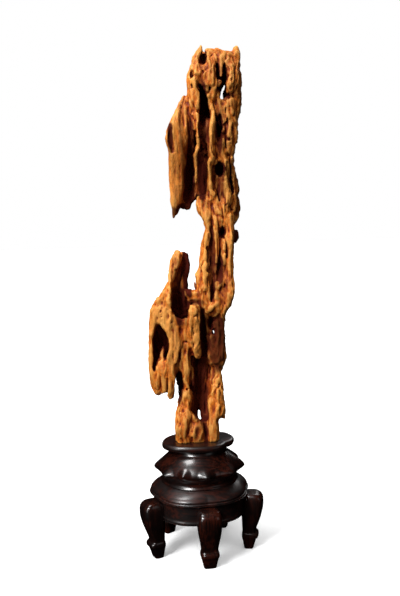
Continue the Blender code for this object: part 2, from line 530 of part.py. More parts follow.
HOLLOWS = {
    "top hole": (
        (24.6, 695, -16, 2, 14), (24.4, 688, -14, 4.4, 18), (23.8, 681.5, -14, 5.8, 20),
        (23.6, 675.5, -14, 3.6, 16),
    ),
    "pit l1": (
        (8.4, 669, -23, 1.8, 6), (7.2, 662, -23, 3, 9), (7.2, 656, -23, 1.8, 8),
    ),
    "pit l2": (
        (7.8, 650, -24, 1.8, 8), (7.4, 643, -24, 1.8, 8),
    ),
    "shaft b": (
        (22, 640, -22, 3.6, 14), (21.6, 630, -20, 5.2, 22), (21.4, 612, -20, 5.4, 24),
        (20.6, 600, -20, 5.4, 20), (20.2, 588, -20, 5.4, 11), (20.2, 574, -20, 5.2, 11),
        (20.2, 558, -20, 5, 21), (18.6, 530, -20, 5.6, 23), (16, 512, -18, 8, 19),
        (14, 505, -16, 6, 13),
    ),
    "tri pit": (
        (31.4, 645, -26, 2.2, 7), (31, 639, -26, 2, 7), (30.6, 634.5, -26, 0.8, 5),
    ),
    "slot c": (
        (43, 677, -20, 1.6, 12), (42.6, 664, -17, 2.4, 16), (42.6, 653, -18, 1.8, 12),
    ),
    "slot d": (
        (51.8, 675, -18, 2.8, 14), (52, 660, -16, 3.6, 20), (51.2, 646, -16, 3.8, 20),
        (49.8, 632, -16, 4, 16),
    ),
    "hole e": (
        (50, 645.5, 0, 2.4, 90), (49.4, 641, 0, 2.3, 90), (46.8, 637, 0, 1.5, 90),
        (47.6, 632.4, 0, 3.2, 90), (47.8, 628.8, 0, 3.2, 90),
    ),
    "crease": (
        (66, 641.5, -18, 1, 5), (61, 636, -22, 1.6, 7), (57, 631, -20, 2, 8), (51, 629, -18, 2, 8),
    ),
    "below e": (
        (40.6, 642, -23, 2, 7), (39.6, 630, -22, 2.4, 7), (38.4, 620, -21, 1.6, 6),
    ),
    "slot f": (
        (43.4, 609, -21, 1.8, 8), (43, 595, -19, 3.6, 12), (42, 580, -18, 4, 12),
        (40.6, 568, -24, 3.2, 7), (40.6, 553, -24, 2.6, 7), (42, 542, -18, 4.8, 14),
        (41.6, 533, -18, 5.6, 16), (40.4, 525, -19, 3.4, 12), (38.6, 516, -20, 1.8, 8),
        (37.4, 506, -19, 2.2, 10), (39, 495, -20, 2, 9), (40.6, 489.5, -22, 1.1, 5),
    ),
    "recess g": (
        (3.6, 607, -18, 1.8, 6), (3, 590, -18, 3.4, 8), (3, 572, -17, 4, 9), (1.6, 552, -14, 4.8, 15),
        (0, 530, -12, 5.2, 17), (-1, 512, -12, 6.4, 17), (-3, 498, -12, 8, 15), (-1, 488, -12, 7, 12),
    ),
    "g pit": (
        (7.4, 575, -16, 1.6, 9), (7.2, 567, -16, 1.8, 9),
    ),
    "blade groove": (
        (-5, 616, -19, 1.4, 4), (-5.4, 603, -20, 2.2, 6), (-5, 591, -21, 1.2, 4),
    ),
    "blade pit": (
        (-23.4, 593, -24, 1.2, 3), (-25.8, 580, -23, 2.6, 6), (-22.4, 568, -24, 2.4, 5),
        (-23, 557.5, -24, 1.4, 4),
    ),
    "blade flute": (
        (-13.6, 578, -22, 0.8, 3), (-13.6, 540, -22, 1, 4), (-14, 506, -20, 0.8, 3),
    ),
    "groove n": (
        (28, 466, -23, 1.3, 5), (28.4, 450, -23, 2, 8), (28, 425, -23, 2.4, 10),
        (27.4, 400, -22, 2.8, 11), (27.4, 380, -20, 3, 11), (27, 364, -17, 3.6, 11),
        (24, 352, -16, 2, 6),
    ),
    "hole o": (
        (43.2, 455.6, -20, 2.8, 11), (42.6, 447.6, -20, 5, 16), (42, 440, -22, 3.8, 12),
    ),
    "line 38": (
        (38.6, 435, -23, 0.8, 5), (38.4, 425, -23, 0.9, 5), (38, 414, -23, 1, 5),
        (36.8, 402, -22, 2, 7), (36.4, 390, -21, 2.4, 8), (35, 379, -20, 1.8, 8),
    ),
    "crack l": (
        (14, 407, -24, 0.9, 4), (12, 397, -22, 1.5, 8), (10.4, 388, -21, 1.2, 5),
    ),
    "pillar face": (
        (-11.6, 424, -14, 4.6, 12), (-12.6, 405, -14, 5.4, 14), (-17.6, 390, -15, 8, 18),
        (-21, 375, -17, 10, 22), (-21.4, 358, -17, 10.4, 24), (-19, 344, -17, 10.2, 24),
        (-15.4, 333.5, -18, 5.4, 20),
    ),
    "bowl side": (
        (-12, 354, -16, 3, 14), (-9, 350, -16, 4.4, 16),
    ),
    "red groove": (
        (-26, 411, -18, 1.2, 4), (-27.6, 398, -18, 1.6, 5), (-28.6, 386, -18, 1.3, 5),
    ),
    "cave v": (
        (-50, 322, -20, 2.4, 9), (-49.4, 313, -18, 6.6, 18), (-49, 301, -16, 10, 20),
        (-52, 289, -16, 6.6, 16), (-55.6, 277, -18, 3.8, 12), (-58.2, 266, -18, 2, 8),
        (-58.8, 257, -18, 2.6, 9), (-59, 251.5, -18, 1.4, 5),
    ),
    "cave v2": (
        (-43, 300, -16, 5.4, 14), (-40.6, 288, -18, 2.8, 10), (-40.6, 277, -20, 1.5, 6),
    ),
    "pit m": (
        (-32.2, 326.5, -26, 1.2, 4), (-31.4, 322.8, -26, 1.4, 4),
    ),
    "groove 18": (
        (-18.6, 326, -25, 0.8, 4), (-18.6, 302, -26, 1.1, 4), (-17, 293, -25, 1.4, 5),
        (-20.6, 283, -25, 1.5, 5), (-23.2, 272, -24, 1.6, 6), (-24.6, 259, -23, 1.6, 7),
        (-25, 247, -20, 3.2, 14), (-24.4, 233, -18, 4.6, 20), (-23.6, 218, -18, 3.6, 18),
    ),
    "crack h": (
        (-15, 296.5, -24, 1.4, 5), (-9.4, 295.6, -24, 1.4, 4),
    ),
    "drape cut a": (
        (-50.2, 252, -24, 0.9, 4), (-50.2, 236, -22, 1.2, 6), (-50, 222, -18, 1.1, 7),
    ),
    "drape cut b": (
        (-40.6, 246, -24, 0.9, 4), (-40.6, 232, -22, 1.2, 6), (-40.8, 221, -18, 1.1, 7),
    ),
    "zone y": (
        (11.6, 341, -20, 2, 9), (11.8, 325, -18, 3.4, 14), (12.6, 300, -17, 4.4, 16),
        (13, 280, -16, 4.8, 18), (10, 262, -15, 6, 20), (6, 245, -15, 8, 20), (5, 225, -15, 8.4, 20),
        (3.6, 209, -14, 9, 20), (2.4, 198, -14, 7.4, 18), (2.4, 190, -14, 4, 16),
    ),
    "zone dd": (
        (19.6, 262, -10, 3.4, 16), (17, 245, -12, 4.6, 18), (14, 228, -12, 3.6, 18),
        (12.6, 205, -12, 3, 18), (10.4, 192, -14, 2.4, 16),
    ),
    "slot ee": (
        (1.4, 199.4, 0, 1.6, 90), (2.6, 192.5, 0, 1.9, 90), (4.3, 184.6, 0, 1.6, 90),
    ),
    "slot aa": (
        (26.7, 311.6, 0, 1.6, 90), (26.7, 306.8, 0, 1.6, 90),
    ),
    "z nick a": (
        (21.6, 320, -16, 2.4, 7), (22.4, 312, -16, 1.6, 5),
    ),
    "z nick b": (
        (20, 290, -17, 2, 6), (21, 283, -17, 1.6, 5),
    ),
    "z dent": (
        (35, 324, -15, 2.4, 5), (37, 314, -15, 1.6, 4),
    ),
    "foot groove": (
        (12.4, 188, -20, 2.2, 9), (9.6, 174, -24, 2.6, 10), (12.6, 158, -25, 2.8, 10),
        (13, 150, -25, 2, 8),
    ),
    "foot crease": (
        (-5, 197, -24, 1.2, 5), (-9.6, 183, -26, 1.8, 7), (-13.6, 168, -28, 1.6, 7),
        (-13, 155, -28, 1, 5),
    ),
    "back a": (
        (50, 660, 28, 3, 8), (50, 620, 28, 4.5, 10), (48, 580, 27, 4, 9),
    ),
    "back b": (
        (30, 650, 28, 3, 8), (31, 610, 29, 5, 12), (30, 570, 28, 4, 9),
    ),
    "back c": (
        (12, 600, 27, 3, 8), (12, 560, 27, 4.5, 10), (12, 530, 25, 3.4, 8),
    ),
    "back d": (
        (40, 500, 28, 3, 8), (39, 460, 28, 4.8, 12), (37, 420, 28, 3.6, 9),
    ),
    "back e": (
        (35, 398, 28, 2.6, 8), (34, 380, 28, 4, 10), (33, 360, 28, 3, 8),
    ),
    "back f": (
        (9, 332, 28, 3.4, 9), (12, 296, 29, 5, 12), (11, 262, 28, 3.6, 9),
    ),
    "back g": (
        (-12, 322, 28, 3, 8), (-12, 286, 28, 4.6, 12), (-10, 255, 27, 3.4, 8),
    ),
    "back h": (
        (-38, 322, 26, 3, 8), (-37, 290, 26, 4.6, 11), (-38, 262, 24, 3, 8),
    ),
    "back i": (
        (0, 195, 26, 2.4, 8), (-2, 175, 27, 3.4, 9),
    ),
}


def make_collection(name):
    collection = bpy.data.collections.get(name)
    if collection is None:
        collection = bpy.data.collections.new(name)
        bpy.context.scene.collection.children.link(collection)
    return collection


def make_material(name, colour, roughness):
    material = bpy.data.materials.new(name)
    material.use_nodes = True
    surface = material.node_tree.nodes["Principled BSDF"]
    surface.inputs["Base Color"].default_value = (*colour, 1.0)
    surface.inputs["Roughness"].default_value = roughness
    surface.inputs["Metallic"].default_value = 0.0
    return material


def object_from_bmesh(name, bm, collection, material=None):
    """A mesh object from a bmesh in millimetres, placed on the stand's axis."""
    bmesh.ops.scale(bm, vec=(MM, MM, MM), verts=bm.verts)
    bmesh.ops.translate(bm, vec=(AXIS_X * MM, AXIS_Y * MM, 0.0), verts=bm.verts)
    bmesh.ops.recalc_face_normals(bm, faces=bm.faces)
    mesh = bpy.data.meshes.new(name)
    bm.to_mesh(mesh)
    bm.free()
    thing = bpy.data.objects.new(name, mesh)
    collection.objects.link(thing)
    if material is not None:
        mesh.materials.append(material)
    return thing


def make_cutter(name, bm):
    cutter = object_from_bmesh(name, bm, make_collection(CUTTERS))
    cutter.hide_render = True
    cutter.display_type = "WIRE"
    return cutter


def apply_modifiers(thing):
    """Bakes the object's modifiers into its mesh."""
    view = bpy.context.evaluated_depsgraph_get()
    old = thing.data
    mesh = bpy.data.meshes.new_from_object(thing.evaluated_get(view))
    thing.modifiers.clear()
    thing.data = mesh
    bpy.data.meshes.remove(old)


def combine(thing, other, operation):
    modifier = thing.modifiers.new(operation.lower(), "BOOLEAN")
    modifier.operation = operation
    modifier.solver = "EXACT"
    modifier.object = other
    apply_modifiers(thing)


def discard(thing):
    bpy.data.objects.remove(thing)


def shade_round(thing, sharp_angle=40.0):
    thing.data.shade_smooth()
    thing.data.set_sharp_from_angle(angle=math.radians(sharp_angle))


def polar(angle, radius, height):
    """A point at an angle from the front, towards +X."""
    turn = math.radians(angle)
    return (radius * math.sin(turn), -radius * math.cos(turn), height)


def loft(bm, rings, tips=None):
    """Skins rings of equal count and closes both ends, with a point where tips are given."""
    loops = []
    for ring in rings:
        loops.append([bm.verts.new(point) for point in ring])
    for lower, upper in zip(loops, loops[1:]):
        for i, corner in enumerate(lower):
            j = (i + 1) % len(lower)
            bm.faces.new((corner, lower[j], upper[j], upper[i]))
    if tips is None:
        bm.faces.new(loops[0])
        bm.faces.new(loops[-1])
        return
    for loop, tip in zip((loops[0], loops[-1]), tips):
        point = bm.verts.new(tip)
        for i, corner in enumerate(loop):
            bm.faces.new((corner, loop[(i + 1) % len(loop)], point))


def lobed_radius(angle, radius, share):
    """Radius of the five-petalled plan; the valleys stand above the legs."""
    petal = abs(math.sin(math.radians((angle - FIRST_LEG) * LEG_COUNT / 2)))
    return radius - LOBE_DEPTH * share * (1.0 - petal)


def lobed_body(profile, room=0.0):
    """Loft of the lobed plan along a profile, grown by room for a cutter."""
    rings = []
    for height, radius, share in profile:
        ring = []
        for step in range(PLAN_STEPS):
            angle = FIRST_LEG + 360 * step / PLAN_STEPS
            ring.append(polar(angle, lobed_radius(angle, radius, share) + room, height))
        rings.append(ring)
    bm = bmesh.new()
    loft(bm, rings)
    return bm


def make_shoulder(collection, wood):
    shoulder = object_from_bmesh("shoulder", lobed_body(SHOULDER_PROFILE), collection, wood)
    shade_round(shoulder)


def make_apron(collection, wood):
    apron = object_from_bmesh("apron", lobed_body(APRON_PROFILE), collection, wood)
    shade_round(apron)


def make_knob(angle, height, reach, half_width):
    """A blunt thorn: a cone laid outwards, with a rounded tip."""
    bm = bmesh.new()
    root = Vector(polar(angle, KNOB_ROOT, height + KNOB_RISE))
    tip = Vector(polar(angle, reach - KNOB_NOSE, height))
    axis = tip - root
    turn = axis.to_track_quat("Z", "Y").to_matrix().to_4x4()
    turn.translation = (root + tip) / 2
    bmesh.ops.create_cone(
        bm, cap_ends=True, segments=KNOB_SIDES, radius1=half_width, radius2=KNOB_TIP,
        depth=axis.length, matrix=turn,
    )
    crown = max(bm.faces, key=lambda face: (face.calc_center_median() - root).length)
    cap = bmesh.ops.extrude_discrete_faces(bm, faces=[crown])["faces"]
    bmesh.ops.translate(bm, vec=axis.normalized() * KNOB_NOSE, verts=cap[0].verts)
    centre = cap[0].calc_center_median()
    for corner in cap[0].verts:
        corner.co = centre.lerp(corner.co, KNOB_NOSE_SHARE)
    return make_cutter("knob", bm)


def make_drum(collection, wood):
    """A turned profile with a ring of carved knobs."""
    mesh = bpy.data.meshes.new("drum")
    line = [(0.0, 0.0, DRUM_TOP - GAP)]
    for height, radius in DRUM_PROFILE:
        line.append((radius, 0.0, min(height, DRUM_TOP - GAP)))
    line.append((0.0, 0.0, DRUM_PROFILE[-1][0]))
    points = [Vector(point) * MM for point in line]
    mesh.from_pydata(points, [(i, i + 1) for i in range(len(points) - 1)], [])
    drum = bpy.data.objects.new("drum", mesh)
    drum.location = (AXIS_X * MM, AXIS_Y * MM, 0.0)
    collection.objects.link(drum)
    screw = drum.modifiers.new("turn", "SCREW")
    screw.steps = DRUM_STEPS
    screw.render_steps = DRUM_STEPS
    screw.use_merge_vertices = True
    screw.merge_threshold = MERGE
    apply_modifiers(drum)
    drum.data.materials.append(wood)
    for angle, height, reach, half_width in KNOBS:
        knob = make_knob(angle, height, reach, half_width)
        combine(drum, knob, "UNION")
        discard(knob)
    shade_round(drum)


def leg_ring(angle, height, near, far, half_width):
    """One rounded-square section of a leg."""
    ring = []
    middle = (near + far) / 2
    half_reach = (far - near) / 2
    for step in range(LEG_SIDES):
        turn = 2 * math.pi * (step + 0.5) / LEG_SIDES
        along = math.copysign(abs(math.cos(turn)) ** (2 / LEG_SQUARENESS), math.cos(turn))
        across = math.copysign(abs(math.sin(turn)) ** (2 / LEG_SQUARENESS), math.sin(turn))
        x, y, z = polar(angle, middle + half_reach * along, height)
        side = Vector(polar(angle + 90, half_width * across, 0.0))
        ring.append((x + side.x, y + side.y, z))
    return ring


def make_leg(number, collection, wood, apron_room):
    angle = FIRST_LEG + LEG_STEP * number
    bm = bmesh.new()
    loft(bm, [leg_ring(angle, *section) for section in LEG_SECTIONS])
    leg = object_from_bmesh("leg_%d" % (number + 1), bm, collection, wood)
    combine(leg, apron_room, "DIFFERENCE")
    shade_round(leg)


def make_legs(collection, wood):
    """Five legs, each cut to fit the apron's face and its underside."""
    below = (APRON_FOOT - GAP, APRON_PROFILE[-1][1], 1.0)
    above = (APRON_TOP + LOBE_DEPTH, APRON_PROFILE[0][1], 1.0)
    room = (above,) + APRON_PROFILE[1:-1] + (below,)
    apron_room = make_cutter("apron_room", lobed_body(room, GAP))
    for number in range(LEG_COUNT):
        make_leg(number, collection, wood, apron_room)


def foot_prism(low, high, room):
    """The oval that the stone's foot and its socket share."""
    bm = bmesh.new()
    rings = []
    for height in (low, high):
        ring = []
        for step in range(FOOT_SIDES):
            turn = 2 * math.pi * step / FOOT_SIDES
            x = FOOT_CENTRE[0] + (FOOT_HALF_WIDTH + room) * math.cos(turn)
            y = FOOT_CENTRE[1] + (FOOT_HALF_DEPTH + room) * math.sin(turn)
            ring.append((x, y, height))
        rings.append(ring)
    loft(bm, rings)
    return bm


def make_seat(collection, wood):
    """The cloud-shaped plate, with a socket for the stone's foot."""
    curve = bpy.data.curves.new("seat_outline", "CURVE")
    curve.dimensions = "2D"
    curve.fill_mode = "BOTH"
    curve.resolution_u = SEAT_CURVE_STEPS
    curve.extrude = (SEAT_THICKNESS / 2 - SEAT_EDGE) * MM
    curve.bevel_depth = SEAT_EDGE * MM
    curve.bevel_resolution = SEAT_EDGE_STEPS
    line = curve.splines.new("BEZIER")
    line.bezier_points.add(len(SEAT_OUTLINE) - 1)
    line.use_cyclic_u = True
    for knot, (x, y) in zip(line.bezier_points, SEAT_OUTLINE):
        knot.co = (x * MM, y * MM, 0.0)
        knot.handle_left_type = "AUTO"
        knot.handle_right_type = "AUTO"
    outline = bpy.data.objects.new("seat_outline", curve)
    collection.objects.link(outline)
    view = bpy.context.evaluated_depsgraph_get()
    mesh = bpy.data.meshes.new_from_object(outline.evaluated_get(view))
    discard(outline)
    middle = SEAT_TOP - SEAT_THICKNESS / 2
    bm = bmesh.new()
    bm.from_mesh(mesh)
    bmesh.ops.remove_doubles(bm, verts=bm.verts, dist=MERGE)
    bmesh.ops.scale(bm, vec=(1 / MM, 1 / MM, 1 / MM), verts=bm.verts)
    bmesh.ops.translate(bm, vec=(0.0, 0.0, middle), verts=bm.verts)
    seat = object_from_bmesh("seat_plate", bm, collection, wood)
    socket = make_cutter("socket", foot_prism(SEAT_TOP - SOCKET_DEPTH, SEAT_TOP + 5.0, SOCKET_ROOM))
    combine(seat, socket, "DIFFERENCE")
    shade_round(seat)


def smooth_between(a, b, c, d, t):
    """Catmull-Rom value between b and c."""
    return 0.5 * (
        2 * b + (c - a) * t + (2 * a - 5 * b + 4 * c - d) * t ** 2
        + (3 * b - a - 3 * c + d) * t ** 3
    )


def strand_rings(points):
    """Rings read from a smooth curve through the strand's own points."""
    count = len(points)
    rings = []
    for i in range(count - 1):
        before = points[max(i - 1, 0)]
        here = points[i]
        there = points[i + 1]
        after = points[min(i + 2, count - 1)]
        reach = math.dist(here[:3], there[:3])
        steps = max(1, round(reach / STRAND_STEP))
        for step in range(steps):
            t = step / steps
            ring = [smooth_between(a, b, c, d, t) for a, b, c, d in zip(before, here, there, after)]
            for axis in (3, 4):
                ring[axis] = max(ring[axis], min(here[axis], there[axis]))
            rings.append(ring)
    rings.append(list(points[-1]))
    return rings


def strand(bm, points):
    """A tapering strand: oval rings square to its run in the drawing's plane."""
    rings = strand_rings(points)
    loops = []
    runs = []
    for i, (x, z, depth, half_width, half_depth) in enumerate(rings):
        before = rings[max(i - 1, 0)]
        after = rings[min(i + 1, len(rings) - 1)]
        run = Vector((after[0] - before[0], after[1] - before[1])).normalized()
        runs.append(run)
        loop = []
        for step in range(STRAND_SIDES):
            turn = 2 * math.pi * step / STRAND_SIDES
            side = half_width * math.cos(turn)
            loop.append((x + run.y * side, depth + half_depth * math.sin(turn), z - run.x * side))
        loops.append(loop)
    tips = []
    for ring, run, way in ((rings[0], runs[0], -1), (rings[-1], runs[-1], 1)):
        bulge = 0.6 * min(ring[3], ring[4]) * way
        tips.append((ring[0] + run.x * bulge, ring[2], ring[1] + run.y * bulge))
    loft(bm, loops, tips)


def strands_object(name, table, spread=0.0):
    """All the strands of a table, widened by spread and melted into one skin."""
    bm = bmesh.new()
    for points in table.values():
        strand(bm, [(x, z, depth, wide + spread, deep) for x, z, depth, wide, deep in points])
    thing = make_cutter(name, bm)
    melt(thing)
    return thing


def melt(thing):
    modifier = thing.modifiers.new("melt", "REMESH")
    modifier.mode = "VOXEL"
    modifier.voxel_size = STONE_GRAIN * MM
    apply_modifiers(thing)


def keep_largest(bm):
    """Removes crumbs and sealed bubbles, so that one closed skin is left."""
    unseen = set(bm.verts)
    groups = []
    while unseen:
        start = unseen.pop()
        group = [start]
        front = [start]
        while front:
            for edge in front.pop().link_edges:
                for corner in edge.verts:
                    if corner in unseen:
                        unseen.remove(corner)
                        group.append(corner)
                        front.append(corner)
        groups.append(group)
    groups.sort(key=len)
    for group in groups[:-1]:
        bmesh.ops.delete(bm, geom=group, context="VERTS")


def sway(x, z):
    """Depth by which the stone wanders at a height, nothing at its foot."""
    rise = min(1.0, max(0.0, (z - SWAY_START) / SWAY_LENGTH * 2))
    turn = 2 * math.pi * (z - SWAY_START) / SWAY_LENGTH
    return rise * SWAY * (math.sin(turn) + 0.5 * math.sin(SWAY_OVERTONE * turn + x / FLUTE_LENGTH))


def weather(thing):
    """Sets depth along the lines of sight and wears long flutes into the skin."""
    bm = bmesh.new()
    bm.from_mesh(thing.data)
    keep_largest(bm)
    bm.normal_update()
    axis = Vector((AXIS_X, AXIS_Y, 0.0))
    moved = []
    for corner in bm.verts:
        point = corner.co / MM - axis
        grain = Vector((point.x / FLUTE_WIDTH, point.y / FLUTE_WIDTH, point.z / FLUTE_LENGTH))
        backness = min(1.0, max(0.0, point.y / FLUTE_TURN + 0.5))
        depth = FLUTE_DEPTH * (FLUTE_FRONT + backness) * noise.noise(grain)
        point = point + corner.normal * depth
        point.y += sway(point.x, point.z)
        share = (point.y - EYE.y) / -EYE.y
        point.x = EYE.x + (point.x - EYE.x) * share
        point.z = EYE.z + (point.z - EYE.z) * share
        moved.append(point)
    for corner, point in zip(bm.verts, moved):
        corner.co = (point + axis) * MM
    bm.to_mesh(thing.data)
    bm.free()


def make_stone(collection, rock):
    """The pierced stone: strands melted together, hollows cut out, its foot let into the seat."""
    stone = strands_object("stone", MASSES)
    hollows = strands_object("hollows", HOLLOWS, HOLLOW_SPREAD)
    combine(stone, hollows, "DIFFERENCE")
    melt(stone)
    smooth = stone.modifiers.new("wear", "SMOOTH")
    smooth.factor = 0.5
    smooth.iterations = STONE_SMOOTHING
    apply_modifiers(stone)
    weather(stone)
    decimate = stone.modifiers.new("facets", "DECIMATE")
    decimate.ratio = STONE_TRIANGLES / (2 * len(stone.data.polygons))
    apply_modifiers(stone)
    below = bmesh.new()
    floor = SEAT_TOP - SOCKET_DEPTH + GAP
    middle = SEAT_TOP + GAP - TRIM_SIZE / 2
    bmesh.ops.create_cube(below, size=TRIM_SIZE)
    bmesh.ops.translate(below, vec=(0.0, 0.0, middle), verts=below.verts)
    ring = make_cutter("foot_trim", below)
    foot = make_cutter("foot", foot_prism(floor, SEAT_TOP + FOOT_OVERLAP, 0.0))
    combine(ring, foot, "DIFFERENCE")
    combine(stone, ring, "DIFFERENCE")
    make_collection(CUTTERS).objects.unlink(stone)
    collection.objects.link(stone)
    stone.hide_render = False
    stone.display_type = "TEXTURED"
    stone.data.materials.clear()
    stone.data.materials.append(rock)
    shade_round(stone, ROCK_SHARP_ANGLE)


def main():
    for thing in list(bpy.data.objects):
        bpy.data.objects.remove(thing)
    collection = make_collection(COLLECTION)
    rock = make_material("ochre_limestone", (0.52, 0.24, 0.06), 0.55)
    wood = make_material("dark_polished_hardwood", (0.035, 0.012, 0.009), 0.25)
    make_seat(collection, wood)
    make_drum(collection, wood)
    make_shoulder(collection, wood)
    make_apron(collection, wood)
    make_legs(collection, wood)
    make_stone(collection, rock)


main()
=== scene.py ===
"""Scholar's rock on a five-legged hardwood stand: the finished surfaces around the fixed frame.

Lengths are in millimetres round the stand's upright axis, with the floor at height zero and the
front at -Y. They turn to metres when a mesh is made.
"""
import math

import bmesh
import bpy
import numpy as np
from bpy.props import FloatProperty, FloatVectorProperty, IntProperty, PointerProperty
from mathutils import Matrix, Vector, noise
from mathutils.bvhtree import BVHTree


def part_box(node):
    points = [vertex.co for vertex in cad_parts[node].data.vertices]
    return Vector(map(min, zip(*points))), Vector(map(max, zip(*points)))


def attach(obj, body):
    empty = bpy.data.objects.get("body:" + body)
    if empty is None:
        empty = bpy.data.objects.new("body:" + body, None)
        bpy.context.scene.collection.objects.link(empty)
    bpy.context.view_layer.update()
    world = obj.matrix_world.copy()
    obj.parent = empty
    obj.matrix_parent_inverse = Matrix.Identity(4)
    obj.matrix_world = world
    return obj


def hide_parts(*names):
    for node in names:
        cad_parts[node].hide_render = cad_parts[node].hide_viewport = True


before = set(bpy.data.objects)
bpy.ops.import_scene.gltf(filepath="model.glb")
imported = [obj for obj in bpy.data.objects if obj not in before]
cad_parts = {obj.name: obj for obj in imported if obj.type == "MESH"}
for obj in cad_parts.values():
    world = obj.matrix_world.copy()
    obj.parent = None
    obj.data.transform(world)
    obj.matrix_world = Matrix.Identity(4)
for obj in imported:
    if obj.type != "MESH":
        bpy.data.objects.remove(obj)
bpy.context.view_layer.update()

bl_info = {
    "name": "Scholar's rock on its stand",
    "version": (1, 0, 0),
    "blender": (4, 5, 0),
    "location": "View3D > Sidebar > Scholar's rock",
    "description": "Builds a weathered limestone scholar's rock and its carved hardwood stand",
    "category": "Add Mesh",
}

MM = 0.001
GAP = 0.3                      # between pieces that touch

# The stand's axis, measured from the middle of the whole object's footprint
AXIS = Vector((-3.2, 3.0, 0.0))

# Heights of the stand's members, read from the frame
SEAT_FOOT, SEAT_TOP = (corner.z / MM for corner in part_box("seat_plate"))
DRUM_FOOT, DRUM_TOP = (corner.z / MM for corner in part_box("drum"))
SHOULDER_FOOT, SHOULDER_TOP = (corner.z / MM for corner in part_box("shoulder"))
APRON_FOOT, APRON_TOP = (corner.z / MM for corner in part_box("apron"))
LEG_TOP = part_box("leg_1")[1].z / MM
SOCKET_DEPTH = 5.0
SHARP_ANGLE = 38.0             # edges that turn more than this stay sharp

# Legs: five, evenly spaced; angles run from the front, towards +X
LEG_COUNT = 5
FIRST_LEG = 9.3
LEG_STEP = 360 / LEG_COUNT

# Lobed plan of shoulder and apron: rounded petals that meet in a valley above each leg
LOBE_DEPTH = 4.0
PLAN_STEPS = 240
PROFILE_STEPS = 3              # rings between two rows of a profile

# Shoulder moulding: height, radius on a petal, share of the lobes' depth. A thin bead runs
# round its lower edge, under a narrow groove.
SHOULDER_PROFILE = (
    (SHOULDER_TOP, 40.0, 0.0), (SHOULDER_TOP, 52.6, 0.0), (99.7, 54.4, 0.0), (98.8, 56.2, 0.1),
    (97.2, 59.2, 0.22), (95.0, 63.0, 0.5), (92.6, 66.6, 0.8), (90.2, 69.0, 0.96),
    (88.6, 70.0, 1.0), (87.4, 70.1, 1.0), (86.7, 69.5, 1.0), (86.3, 69.5, 1.0), (85.9, 70.5, 1.0),
    (85.2, 71.2, 1.0), (84.5, 71.2, 1.0), (83.8, 70.6, 1.0), (SHOULDER_FOOT, 69.6, 1.0),
    (SHOULDER_FOOT, 40.0, 0.0),
)

# Apron: a plain lobed wall over a rounded lip
APRON_PROFILE = (
    (APRON_TOP, 40.0, 0.0), (APRON_TOP, 66.9, 1.0), (82.4, 67.4, 1.0), (78.0, 67.0, 1.0),
    (70.0, 66.6, 1.0), (62.4, 66.4, 1.0), (60.4, 66.6, 1.0), (59.0, 67.0, 1.0), (57.8, 67.1, 1.0),
    (56.8, 66.8, 1.0), (56.0, 66.2, 1.0), (APRON_FOOT, 65.4, 1.0), (APRON_FOOT, 40.0, 0.0),
)

# Drum: height and radius, from the neck down to the waist
DRUM_PROFILE = (
    (DRUM_TOP, 30.0), (DRUM_TOP, 34.6), (146.0, 35.6), (144.0, 36.2), (141.6, 37.6), (139.6, 40.2),
    (137.0, 43.6), (134.0, 47.0), (130.0, 50.8), (126.0, 53.8), (121.5, 56.4), (118.0, 57.2),
    (115.0, 56.4), (112.0, 54.4), (108.0, 53.0), (104.0, 53.0), (DRUM_FOOT, 53.4),
    (DRUM_FOOT, 30.0),
)
DRUM_STEPS = 360
DRUM_RING_STEP = 0.9           # height between rings

# Beaks on the drum: angle, height of the tip, reach of the tip from the axis, half width in
# degrees, height of the flare over the tip. Each runs out from the slope above it in a hollow
# curve and is cut back under its tip. Those in front are short and blunt.
BEAKS = (
    (-96.5, 116.0, 64.6, 20.0, 20.0), (-51.0, 117.5, 63.4, 15.0, 12.0),
    (-21.0, 122.0, 60.6, 11.0, 8.0), (11.0, 120.5, 62.4, 14.0, 10.0),
    (49.0, 119.5, 63.0, 18.0, 13.0), (84.0, 119.5, 65.0, 20.0, 20.0),
    (117.3, 121.0, 63.6, 20.0, 20.0), (153.3, 118.0, 63.0, 20.0, 20.0),
    (-170.7, 118.0, 63.4, 20.0, 20.0), (-134.7, 119.5, 63.4, 20.0, 20.0),
)
BEAK_DROP = 12.0               # height of the cut under its tip
BEAK_BLUNT = 0.2               # roundness of its tip
BEAK_FLARE = 1.7               # 1 is a straight cone, higher is hollow-sided

# Seat plate: cloud-shaped outline of the flat top, with a rounded edge round it
SEAT_OUTLINE = (
    (-45.0, -6.0), (-41.0, -19.0), (-28.0, -29.5), (-8.0, -34.0), (12.0, -33.5), (27.0, -28.0),
    (34.0, -16.0), (42.5, -6.0), (44.5, 10.0), (36.0, 27.0), (20.0, 33.0), (4.0, 35.0),
    (-14.0, 33.0), (-30.0, 26.0), (-41.5, 12.0),
)
SEAT_EDGE = 6.4                # how far the edge bulges out past the outline
SEAT_EDGE_ROUNDNESS = 0.62     # 1 is round, lower is squarer
SEAT_EDGE_STEPS = 17
SEAT_SHOULDER = 0.7            # how much lower than the top the edge begins
SEAT_FALL = 0.5                # how far the top falls from the socket to the edge
SEAT_TOP_STEPS = 8

# The stone's foot, cut flat and let into the seat: an oval that the socket follows
FOOT_CENTRE = (0.0, -1.0)
FOOT_HALF_WIDTH = 27.5
FOOT_HALF_DEPTH = 18.0
FOOT_SIDES = 96
FOOT_OVERLAP = 8.0             # how far the foot's cutter reaches up into the stone
FOOT_TRIM_SIZE = 90.0
SOCKET_ROOM = 0.6              # between the foot's side and the socket's
SOCKET_BEVEL = 0.8             # depth of the bevel at the socket's mouth
SOCKET_FLARE = 1.012           # how much wider the mouth is than the socket
SOCKET_RIM = 0.2               # how far the mouth lies under the seat's top

